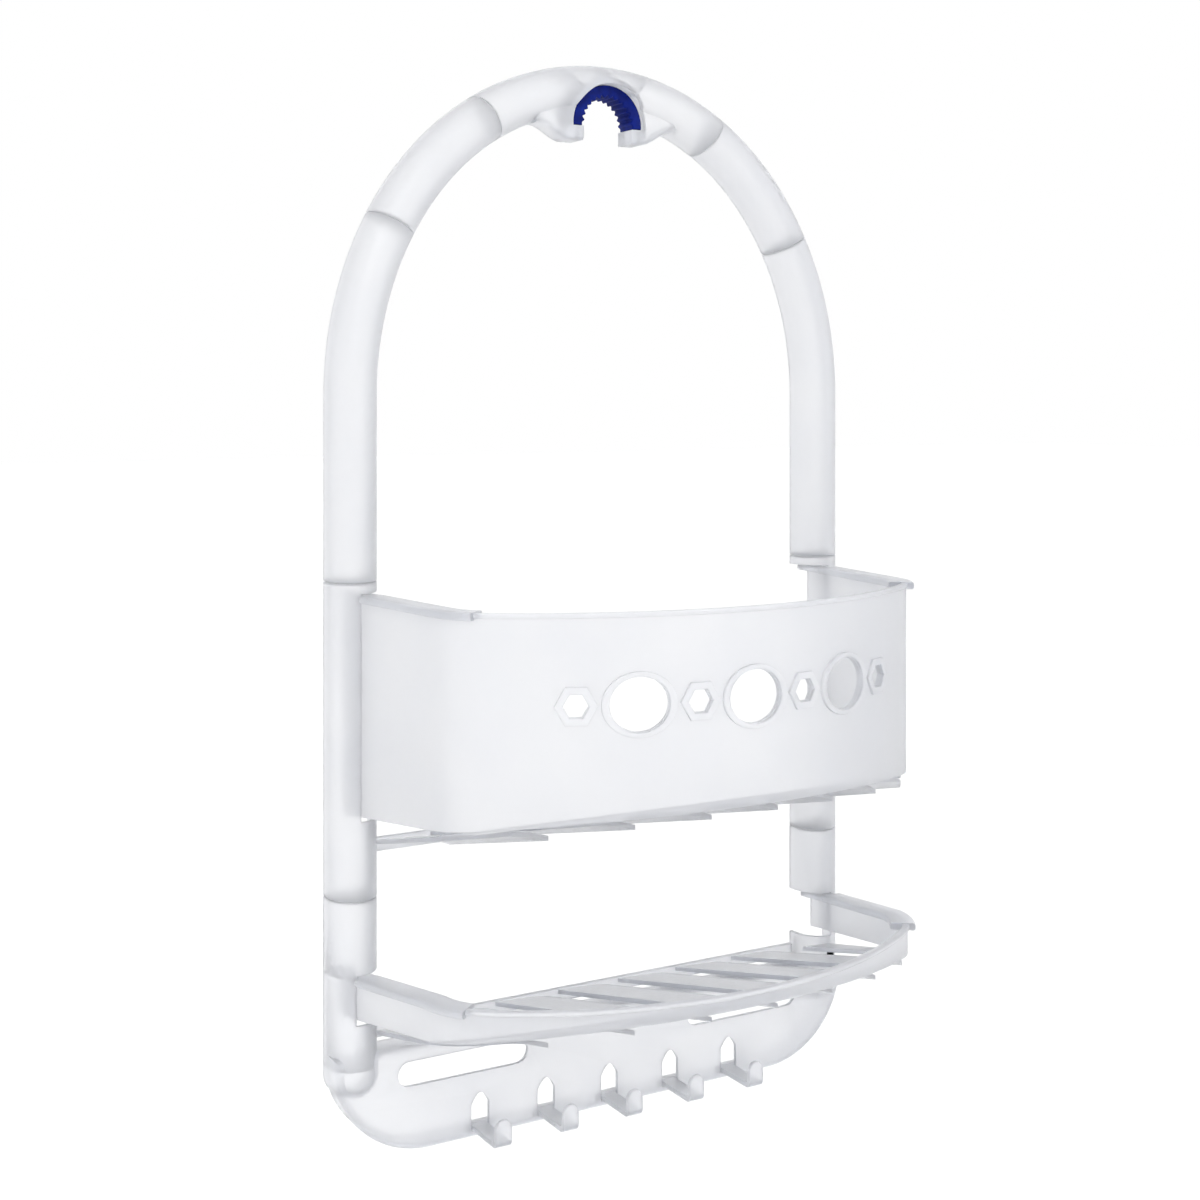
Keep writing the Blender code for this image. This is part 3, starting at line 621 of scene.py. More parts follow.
@dataclass(frozen=True)
class Rail:
    """Sizes of the half-round channel and of the path that it follows."""

    spacing: float = 0.2500
    width: float = 0.0224
    depth: float = 0.0170
    flank: float = 0.0030
    wall: float = 0.0018
    web: float = 0.0011
    arch_rise: float = 0.1430
    arch_top: float = 0.0170
    crown_angle: float = math.radians(28.7)
    shoulder_angle: float = math.radians(58.4)
    arch_step: float = math.radians(1.6)
    section_steps: int = 32
    leg_end: float = -0.2070
    post_end: float = -0.3440
    ribs: tuple[float, float] = (-0.3770, -0.4170)
    foot: float = -0.4210

    @property
    def spring(self) -> float:
        """Height at which the arch starts."""
        return self.arch_top - self.arch_rise

    def shift(self, angle: float, distance: float) -> float:
        """The arch angle a short distance further from the top than another one.

        Args:
            angle: Arch angle, in radians.
            distance: Distance along the arch, negative towards the top.

        Returns:
            The shifted angle.
        """
        across = self.spacing / 2 * math.cos(angle)
        down = self.arch_rise * math.sin(angle)
        return angle + math.copysign(1.0, angle) * distance / math.hypot(across, down)

    def arch(self, angle: float) -> Station:
        """Centre and outward direction of the arch at an angle.

        Args:
            angle: Arch angle, in radians.

        Returns:
            Position x, z and outward direction x, z.
        """
        outward = Vector((self.arch_rise * math.sin(angle), self.spacing / 2 * math.cos(angle))).normalized()
        x = self.spacing / 2 * math.sin(angle)
        return x, self.spring + self.arch_rise * math.cos(angle), outward.x, outward.y

    def upright(self, side: Side, z: float) -> Station:
        """Centre and outward direction of an upright rail at a height."""
        return side.value * self.spacing / 2, z, side.value, 0.0

    def arch_path(self, start: float, end: float) -> list[Station]:
        """Stations along the arch.

        Args:
            start: First angle, in radians.
            end: Last angle, in radians.

        Returns:
            An even number of stations, none of them at the very top.
        """
        steps = 2 * round(abs(end - start) / self.arch_step / 2) + 1
        return [self.arch(start + (end - start) * step / steps) for step in range(steps + 1)]

    def section(self, inset: float, back: float) -> list[Point2]:
        """Half-round outline of the rail.

        Args:
            inset: Distance inside the outer skin.
            back: Depth at which the outline is closed.

        Returns:
            Points as (outward, depth).
        """
        half = self.width / 2 - inset
        crest = self.depth - inset - self.flank
        points = [(half, back)]
        for step in range(self.section_steps + 1):
            angle = math.pi * step / self.section_steps
            points.append((half * math.cos(angle), -self.flank - crest * math.sin(angle)))
        points.append((-half, back))
        return points

    def sweep(self, name: str, path: Sequence[Station], inset: float, back: float) -> bpy.types.Object:
        """Carry the section along a path.

        Args:
            name: Name of the new object.
            path: Stations of the path.
            inset: Distance inside the outer skin.
            back: Depth at which the section is closed.

        Returns:
            The swept solid.
        """
        section = self.section(inset, back)
        rings = []
        for x, z, outward_x, outward_z in path:
            rings.append([(x + outward_x * n, y, z + outward_z * n) for n, y in section])
        return loft(name, rings)

    def foot_sweep(self, name: str, side: Side, top: float, inset: float, back: float) -> bpy.types.Object:
        """Carry the section down to a rounded foot.

        Args:
            name: Name of the new object.
            side: Side of the caddy.
            top: Height at which it starts.
            inset: Distance inside the outer skin.
            back: Depth at which the section is closed.

        Returns:
            The swept solid.
        """
        half = self.width / 2
        shrink = (half - inset) / half
        section = self.section(inset, back)
        places = [(top, 1.0)]
        for degrees in range(0, 88, 7):
            angle = math.radians(degrees)
            places.append((self.foot - half * math.sin(angle) * shrink, math.cos(angle)))
        rings = []
        for z, scale in places:
            x = side.value * self.spacing / 2
            rings.append([(x + side.value * n * scale, y * scale if y < 0 else y, z) for n, y in section])
        return loft(name, rings)


@dataclass
class ChannelFrame:
    """The shoulders, legs and posts of the frame."""

    finishes: Finishes
    rail: Rail = field(default_factory=Rail)
    basket_half: float = 0.1270
    basket_side_bottom: float = -0.3095
    basket_rim: float = -0.2120
    tray_half: float = 0.1290
    tray_side_bottom: float = -0.3970
    tray_rim: float = -0.3690
    tray_rim_drop: float = 0.0090
    edge: float = 0.00035

    def hollow(self, name: str, path: Sequence[Station], inner: Sequence[Station]) -> bpy.types.Object:
        """Make one channel section that keeps a web at each end.

        Args:
            name: Name of the new object.
            path: Stations of the outer skin.
            inner: Stations of the hollow.

        Returns:
            The section.
        """
        part = self.rail.sweep(name, path, 0.0, 0.0)
        combine(part, self.rail.sweep(name + "_hollow", inner, self.rail.wall, SEAM), Operation.CUT)
        return part

    def shoulder(self, side: Side) -> bpy.types.Object:
        """Build the section between the crown and a leg."""
        rail = self.rail
        start = rail.shift(side.value * rail.crown_angle, GAP / 2)
        end = rail.shift(side.value * rail.shoulder_angle, -GAP / 2)
        inner = rail.arch_path(rail.shift(start, rail.web), rail.shift(end, -rail.web))
        return self.hollow(f"{side.label}_shoulder_channel", rail.arch_path(start, end), inner)

    def leg(self, side: Side) -> bpy.types.Object:
        """Build the section that comes down from the arch to the basket's rim."""
        rail = self.rail
        start = rail.shift(side.value * rail.shoulder_angle, GAP / 2)
        spring = side.value * math.pi / 2
        bottom = rail.leg_end + GAP / 2
        path = rail.arch_path(start, spring) + [rail.upright(side, bottom)]
        inner = rail.arch_path(rail.shift(start, rail.web), spring) + [rail.upright(side, bottom + rail.web)]
        return self.hollow(f"{side.label}_leg_channel", path, inner)

    def room(self, name: str, side: Side, half: float, low: float, high: float) -> bpy.types.Object:
        """Make the block that clears a splayed end wall out of a rail.

        Args:
            name: Name of the new object.
            side: Side of the caddy.
            half: Half the wall's width at the back plane.
            low: Lowest height of the block.
            high: Its highest height.

        Returns:
            The cutter.
        """
        near = self.rail.spacing / 2 - self.rail.width
        splay = WallPath(half).splay
        corners = []
        for y in (SEAM, -self.rail.depth - SEAM):
            far = half + GAP / math.cos(splay) + y * math.tan(splay)
            corners += [(near, y), (far, y)] if y > 0 else [(far, y), (near, y)]
        return loft(name, [[(side.value * x, y, z) for x, y in corners] for z in (low, high)])

    def basket_post(self, side: Side) -> bpy.types.Object:
        """Build the rail beside the basket."""
        rail = self.rail
        top = rail.leg_end - GAP / 2
        bottom = rail.post_end + GAP / 2
        path = [rail.upright(side, top), rail.upright(side, bottom)]
        inner = [rail.upright(side, top - rail.web), rail.upright(side, bottom + rail.web)]
        part = self.hollow(f"{side.label}_basket_post_channel", path, inner)
        low = self.basket_side_bottom - GAP
        high = self.basket_rim + GAP
        combine(part, self.room("basket_room", side, self.basket_half, low, high), Operation.CUT)
        return part

    def tray_post(self, side: Side) -> bpy.types.Object:
        """Build the lowest length of the rail, with its webs and rounded foot."""
        rail = self.rail
        top = rail.post_end - GAP / 2
        half_web = rail.web / 2
        part = rail.foot_sweep(f"{side.label}_tray_post_channel", side, top, 0.0, 0.0)
        chambers = ((top - rail.web, rail.ribs[0] + half_web),
                    (rail.ribs[0] - half_web, rail.ribs[1] + half_web))
        for high, low in chambers:
            inner = [rail.upright(side, high), rail.upright(side, low)]
            combine(part, rail.sweep("post_hollow", inner, rail.wall, SEAM), Operation.CUT)
        foot = rail.foot_sweep("foot_hollow", side, rail.ribs[1] - half_web, rail.wall, SEAM)
        combine(part, foot, Operation.CUT)
        rim = tray_rim_height(WallPath(self.tray_half), self.tray_rim, self.tray_rim_drop)
        high = rim(-rail.depth) + GAP
        low = self.tray_side_bottom - GAP
        combine(part, self.room("tray_room", side, self.tray_half, low, high), Operation.CUT)
        return part

    def build(self) -> None:
        """Build and dress the shoulder, leg and basket post of both sides."""
        for side in Side:
            makers = {"shoulder": self.shoulder, "leg": self.leg, "basket_post": self.basket_post}
            for label, maker in makers.items():
                piece = smooth(soften(maker(side), self.edge))
                hand_over(piece, self.finishes.plastic, "frosted", f"{side.label}_{label}")


@dataclass
class HangerCrown:
    """Top of the arch: the saddle's arms, lips, pocket and stiffening ribs."""

    finishes: Finishes
    rail: Rail = field(default_factory=Rail)
    saddle_radius: float = 0.0130
    grip_thickness: float = 0.0054
    bead: float = 0.0008
    depth: float = 0.0130
    lip_top: float = -0.0015
    lip_bottom: float = -0.0080
    lip_length: float = 0.0060
    reach: float = 0.0380
    steps: int = 28
    fan: float = math.radians(43.0)
    edge: float = 0.0022
    rounding: float = 0.0003

    def arms(self, inset: float) -> list[Point2]:
        """Front view of the block round the saddle.

        Args:
            inset: Distance inside its outer skin.

        Returns:
            Closed (x, z) outline.
        """
        rail = self.rail
        half = rail.spacing / 2 - rail.width / 2
        share_out = self.reach / half
        inner_rise = rail.arch_rise - rail.width / 2
        inner_z = rail.spring + inner_rise * math.sqrt(1 - share_out ** 2)
        slope = -inner_rise * share_out / half / math.sqrt(1 - share_out ** 2)
        lip_end = self.saddle_radius + self.lip_length
        run = self.reach - lip_end
        right = [(self.saddle_radius, self.lip_bottom)]
        for step in range(self.steps + 1):
            share = step / self.steps
            rise = share ** 2 * (3 - 2 * share)
            bend = share ** 2 * (share - 1) * slope * run
            right.append((lip_end + run * share, self.lip_bottom + (inner_z - self.lip_bottom) * rise + bend))
        right.append((self.reach, inner_z + rail.width / 2))
        right = offset_line(right, inset)
        return [(-x, z) for x, z in reversed(right)] + right

    def saddle(self, radius: float, foot: float) -> list[Point2]:
        """Half round with short straight legs.

        Args:
            radius: Its radius.
            foot: Height of its feet.

        Returns:
            Open (x, z) outline from the left foot to the right foot.
        """
        return [(-radius, foot), *arc(radius, math.pi, 0.0, 61), (radius, foot)]

    def shape(self) -> bpy.types.Object:
        """Build the crown.

        Returns:
            The finished solid.
        """
        rail = self.rail
        end = rail.shift(rail.crown_angle, -GAP / 2)
        inner_end = rail.shift(end, -rail.web)
        part = rail.sweep("crown_channel", rail.arch_path(-end, end), 0.0, 0.0)
        arms = rounded_plate("crown_arms", self.arms, 0.0, -self.depth, self.edge)
        combine(part, arms, Operation.JOIN)
        hollow = rail.sweep("crown_hollow", rail.arch_path(-inner_end, inner_end), rail.wall, SEAM)
        inner = rounded_plate("arm_hollow", lambda inset: self.arms(rail.wall + inset), SEAM * 2,
                              -self.depth + rail.wall, self.edge)
        combine(hollow, inner, Operation.JOIN)
        pocket_radius = self.saddle_radius + self.grip_thickness + GAP
        wall_radius = pocket_radius + self.bead + rail.wall
        deep = self.lip_bottom * 2
        behind = SEAM * 4
        ahead = -rail.depth * 2
        combine(hollow, plate("pocket_wall", self.saddle(wall_radius, deep), behind, ahead), Operation.CUT)
        for angle in (-self.fan, 0.0, self.fan):
            outward = Vector((math.sin(angle), math.cos(angle)))
            across = Vector((outward.y, -outward.x)) * rail.web / 2
            far = outward * rail.arch_rise
            outline = [tuple(corner) for corner in (across, far + across, far - across, -across)]
            combine(hollow, plate("crown_rib", outline, behind + GAP, ahead - GAP), Operation.CUT)
        combine(part, hollow, Operation.CUT)
        mouth = [(self.saddle_radius, self.lip_top), (self.saddle_radius, deep)]
        mouth += [(-self.saddle_radius, deep), (-self.saddle_radius, self.lip_top)]
        pocket = self.saddle(pocket_radius, self.lip_top) + mouth
        combine(part, plate("saddle_pocket", pocket, SEAM, -rail.depth - SEAM), Operation.CUT)
        return part

    def build(self) -> None:
        """Build and dress the crown."""
        piece = smooth(soften(self.shape(), self.rounding))
        hand_over(piece, self.finishes.plastic, "frosted", "hanger_crown")


@dataclass
class SaddleGrip:
    """Rubber liner of the saddle, waved inside where it bears on the shower arm."""

    finishes: Finishes
    radius: float = 0.0130
    thickness: float = 0.0054
    wave: float = 0.0006
    waves: int = 14
    depth: float = 0.0130
    foot: float = -0.0012
    edge: float = 0.0009
    steps: int = 196

    def outline(self, inset: float) -> list[Point2]:
        """Outer half round, then the waved inner one.

        Args:
            inset: Distance inside the skin.

        Returns:
            Closed (x, z) outline.
        """
        outer = self.radius + self.thickness - inset
        inner = self.radius + inset
        foot = self.foot + inset
        points = [(-outer, foot), *arc(outer, math.pi, 0.0, 72), (outer, foot), (inner + self.wave, foot)]
        for step in range(self.steps + 1):
            angle = math.pi * step / self.steps
            wave = self.wave * math.cos(2 * self.waves * angle)
            points.append(((inner + wave) * math.cos(angle), (inner + wave) * math.sin(angle)))
        points.append((-inner - self.wave, foot))
        return points

    def build(self) -> None:
        """Build and dress the grip."""
        rings = []
        steps = 4
        for step in range(steps + 1):
            angle = math.pi / 2 * step / steps
            inset = self.edge * (1 - math.sin(angle))
            y = -GAP - self.edge * (1 - math.cos(angle))
            rings.append([(x, y, z) for x, z in self.outline(inset)])
        for step in range(steps + 1):
            angle = math.pi / 2 * step / steps
            inset = self.edge * (1 - math.cos(angle))
            y = -self.depth + GAP + self.edge * (1 - math.sin(angle))
            rings.append([(x, y, z) for x, z in self.outline(inset)])
        piece = smooth(loft("waved_grip", rings), 40.0)
        hand_over(piece, self.finishes.rubber, "grip", "saddle_grip")


# Basket and tray -------------------------------------------------------------------------


@dataclass(frozen=True)
class WallPath:
    """Outline of a wall seen from above: splayed ends, round corners, a bowed front.

    Distances run along the outer face from the middle of the front.
    """

    half: float
    depth: float = 0.1315
    front_radius: float = 0.1900
    corner: float = 0.0340
    splay: float = math.radians(6.8)
    front_steps: int = 132
    corner_steps: int = 12

    @property
    def centre_y(self) -> float:
        """Depth of the centre of the bowed front."""
        return self.front_radius - self.depth

    @property
    def turn(self) -> float:
        """Angle at which the front gives way to a corner."""
        inner = self.front_radius - self.corner
        reach = self.half - self.corner / math.cos(self.splay) + self.centre_y * math.tan(self.splay)
        return math.asin(reach * math.cos(self.splay) / inner) - self.splay

    @property
    def corner_x(self) -> float:
        """Position of a corner's centre along X."""
        return (self.front_radius - self.corner) * math.sin(self.turn)

    @property
    def corner_y(self) -> float:
        """Depth of a corner's centre."""
        return self.centre_y - (self.front_radius - self.corner) * math.cos(self.turn)

    @property
    def end_start(self) -> Point2:
        """Where an end wall leaves its corner."""
        return (self.corner_x + self.corner * math.cos(self.splay),
                self.corner_y - self.corner * math.sin(self.splay))

    @property
    def front_length(self) -> float:
        """Half the length of the bowed front."""
        return self.front_radius * self.turn

    @property
    def corner_length(self) -> float:
        """Length of a corner."""
        return self.corner * (math.pi / 2 - self.splay - self.turn)

    @property
    def half_length(self) -> float:
        """Half the length of the whole wall."""
        return self.front_length + self.corner_length - self.end_start[1] / math.cos(self.splay)

    def place(self, distance: float, offset: float = 0.0) -> Point2:
        """Point on the wall.

        Args:
            distance: Distance along the wall.
            offset: Distance outwards from its outer face.

        Returns:
            Position (x, y).
        """
        side = math.copysign(1.0, distance)
        along = abs(distance)
        if along <= self.front_length:
            angle = along / self.front_radius
            radius = self.front_radius + offset
            return side * radius * math.sin(angle), self.centre_y - radius * math.cos(angle)
        along -= self.front_length
        if along <= self.corner_length:
            angle = self.turn + along / self.corner
            radius = self.corner + offset
            x = self.corner_x + radius * math.sin(angle)
            return side * x, self.corner_y - radius * math.cos(angle)
        along -= self.corner_length
        start_x, start_y = self.end_start
        x = start_x + along * math.sin(self.splay) + offset * math.cos(self.splay)
        y = start_y + along * math.cos(self.splay) - offset * math.sin(self.splay)
        return side * x, min(y, 0.0)

    def samples(self, start: float, end: float) -> list[float]:
        """Distances along the wall, close together where it curves.

        Args:
            start: First distance.
            end: Last distance.

        Returns:
            The distances in order.
        """
        stops = {start, end}
        for step in range(self.front_steps + 1):
            stops.add(-self.front_length + 2 * self.front_length * step / self.front_steps)
        for step in range(1, self.corner_steps + 1):
            along = self.front_length + self.corner_length * step / self.corner_steps
            stops.update((along, -along))
        kept = sorted(stop for stop in stops if start <= stop <= end)
        result = [kept[0]]
        for stop in kept[1:]:
            if stop - result[-1] > LEAST_STOP:
                result.append(stop)
        return result

    def wrap(self, flat: bpy.types.Object, name: str, lift: Height) -> bpy.types.Object:
        """Wrap a flat solid in (distance, outward, height) round the wall's outline.

        Args:
            flat: Flat solid, which is thrown away.
            name: Name of the new object.
            lift: Height added at each distance.

        Returns:
            The bent solid.
        """
        shell = bmesh.new()
        shell.from_mesh(flat.data)
        for vertex in shell.verts:
            distance, offset, height = vertex.co
            x, y = self.place(distance, offset)
            vertex.co = (x, y, height + lift(distance))
        bmesh.ops.reverse_faces(shell, faces=shell.faces)
        mesh = bpy.data.meshes.new(name)
        shell.to_mesh(mesh)
        shell.free()
        bpy.data.objects.remove(flat, do_unlink=True)
        return link_mesh(name, mesh)


@dataclass(frozen=True)
class Louvres:
    """The overlapping slats of a floor, and the line that a wall's lower edge takes from them."""

    floor_z: float
    side_bottom: float
    foot_lift: float
    foot_rise: float
    pitch: float = 0.0325
    overlap: float = 0.0025
    thickness: float = 0.0020
    drop: float = 0.0016
    curl: float = 0.0030
    curl_start: float = 0.55
    first_x: float = -0.1190
    count: int = 8
    lift: float = 0.0315
    depth: float = 0.1315
    room: float = 0.0040

    @property
    def rise(self) -> float:
        """Rise of the floor towards the front, per unit of depth."""
        return self.lift / self.depth

    def height(self, y: float) -> float:
        """Height of the floor's high edges at a depth."""
        return self.floor_z - y * self.rise

    def underside(self, path: WallPath, distance: float) -> float:
        """Lower edge of a wall at a distance along it.

        Args:
            path: The wall's outline.
            distance: Distance along it.

        Returns:
            Height of the edge.
        """
        y = path.place(distance)[1]
        return max(self.floor_z + self.foot_lift - y * self.foot_rise, self.side_bottom)


def flat_bar(name: str, stops: Sequence[float], profile: Callable[[float], list[Point2]]) -> bpy.types.Object:
    """Carry a profile in (outward, height) along a flat wall.

    Args:
        name: Name of the new object.
        stops: Distances along the wall.
        profile: Closed profile at a distance.

    Returns:
        The bar.
    """
    return loft(name, [[(stop, n, z) for n, z in profile(stop)] for stop in stops])


def rounded_bar(low_n: float, high_n: float, low_z: float, high_z: float, radius: float,
                steps: int = 4) -> list[Point2]:
    """Rectangle with rounded corners, as (outward, height).

    Args:
        low_n: Inner limit.
        high_n: Outer limit.
        low_z: Lowest height.
        high_z: Highest height.
        radius: Radius of the corners.
        steps: Steps in each corner.

    Returns:
        The closed profile.
    """
    centres = ((high_n - radius, high_z - radius, 0.0), (low_n + radius, high_z - radius, 0.5),
               (low_n + radius, low_z + radius, 1.0), (high_n - radius, low_z + radius, 1.5))
    points = []
    for centre_n, centre_z, start in centres:
        for n, z in arc(radius, math.pi * start, math.pi * (start + 0.5), steps):
            points.append((centre_n + n, centre_z + z))
    return points


@dataclass
class Rim:
    """Sizes of the flanges at the corners and of the bead along the front."""

    inward: float = 0.0080
    outward: float = 0.0035
    thickness: float = 0.0032
    edge: float = 0.0011
    back: float = 0.0100
    bead_in: float = 0.0028
    bead_out: float = 0.0008
    bead_tall: float = 0.0024

    def dress(self, flat: bpy.types.Object, path: WallPath, rail: Rail) -> None:
        """Join the rim to a flat wall.

        Args:
            flat: The flat wall.
            path: Its outline.
            rail: Rail that the outer flange stops short of.
        """
        end = path.front_length + self.back
        outside = path.half_length - rail.depth - self.outward
        for side in Side:
            start, stop = sorted((side.value * end, side.value * outside))
            wide = flat_bar("wide_flange", path.samples(start, stop), lambda stop: rounded_bar(
                -self.inward, self.outward, -self.thickness, 0.0, self.edge))
            combine(flat, wide, Operation.JOIN)
            start, stop = sorted((side.value * (outside - SEAM), side.value * path.half_length))
            inner = flat_bar("inner_flange", path.samples(start, stop), lambda stop: rounded_bar(
                -self.inward - SKIN, -SKIN, -self.thickness + SKIN, -SKIN, self.edge))
            combine(flat, inner, Operation.JOIN)
        bead = flat_bar("front_bead", path.samples(-end - SEAM, end + SEAM), lambda stop: rounded_bar(
            -self.bead_in, self.bead_out, -self.bead_tall, -SKIN, self.bead_tall / 2 - SKIN))
        combine(flat, bead, Operation.JOIN)


@dataclass
class Openings:
    """The row of round and six-sided openings in the basket's front."""

    below_rim: float = 0.0370
    pitch: float = 0.02585
    round_size: Point2 = (0.0124, 0.0110)
    round_collar: Point2 = (0.0034, 0.0022)
    hex_size: Point2 = (0.0052, 0.0052)
    hex_collar: Point2 = (0.0036, 0.0036)
    height: float = 0.0012
    edge: float = 0.0004
    corners: int = 72

    def ring(self, distance: float, size: Point2, offset: float, corners: int) -> list[Point3]:
        """One ring of points about an opening.

        Args:
            distance: Centre of the opening along the wall.
            size: Half width and half height of the ring.
            offset: Distance outwards from the wall's face.
            corners: Number of points.

        Returns:
            Points as (distance, outward, height).
        """
        turn = 0.0 if corners == 6 else math.pi / corners
        points = []
        for corner in range(corners):
            angle = turn + 2 * math.pi * corner / corners
            points.append((distance + size[0] * math.cos(angle), offset,
                           -self.below_rim + size[1] * math.sin(angle)))
        return points

    def dress(self, flat: bpy.types.Object, wall: float) -> None:
        """Cut the openings through a flat wall, each with its raised collar.

        Args:
            flat: The flat wall.
            wall: Its thickness.
        """
        for number in range(-3, 4):
            is_hex = number % 2 == 1
            size = self.hex_size if is_hex else self.round_size
            collar = self.hex_collar if is_hex else self.round_collar
            corners = 6 if is_hex else self.corners
            distance = number * self.pitch
            edge = self.edge
            profile = [(1.0, 0.0, -wall / 2), (1.0, 0.0, self.height - edge),
                       (1.0, -edge / 3, self.height - edge / 3), (1.0, -edge, self.height),
                       (0.0, SKIN + edge, self.height),
                       (0.0, SKIN + edge / 3, self.height - edge / 3), (0.0, SKIN, self.height - edge),
                       (0.0, SKIN, -wall / 2)]
            rings = []
            for share, step, offset in profile:
                grown = (size[0] + collar[0] * share + step, size[1] + collar[1] * share + step)
                rings.append(self.ring(distance, grown, offset, corners))
            combine(flat, loft("collar", rings, ring_shaped=True), Operation.JOIN)
            hole = [self.ring(distance, size, offset, corners) for offset in (-wall * 2, self.height * 3)]
            combine(flat, loft("opening", hole), Operation.CUT)


@dataclass
class BowedWall:
    """Wall of the basket or the tray, with its rim and, on the basket, its openings."""

    name: str
    node: str
    finishes: Finishes
    path: WallPath
    louvres: Louvres
    rim_height: Callable[[float], float]
    thickness: float = 0.0020
    foot: float = 0.0006
    rim: Rim = field(default_factory=Rim)
    rail: Rail = field(default_factory=Rail)
    openings: Openings | None = None

    def lift(self, distance: float) -> float:
        """Height of the rim at a distance along the wall."""
        return self.rim_height(self.path.place(distance)[1])

    def profile(self, stop: float) -> list[Point2]:
        """Section of the wall, with its lower edge rounded.

        Args:
            stop: Distance along the wall.

        Returns:
            Closed profile as (outward, height below the rim).
        """
        low = self.louvres.underside(self.path, stop) - self.lift(stop)
        high = -SKIN * 2
        thick = self.thickness
        return [(-thick, high), (-thick, low + self.foot), (-thick + self.foot * 0.3, low + self.foot * 0.3),
                (-thick + self.foot, low), (-self.foot, low), (-self.foot * 0.3, low + self.foot * 0.3),
                (0.0, low + self.foot), (0.0, high)]

    def build(self) -> None:
        """Build and dress the wall."""
        length = self.path.half_length
        stops = self.path.samples(-length, length)
        flat = flat_bar(self.name + "_flat", stops, self.profile)
        self.rim.dress(flat, self.path, self.rail)
        if self.openings is not None:
            self.openings.dress(flat, self.thickness)
        piece = smooth(self.path.wrap(flat, self.name, self.lift))
        hand_over(piece, self.finishes.plastic, "frosted", self.node)


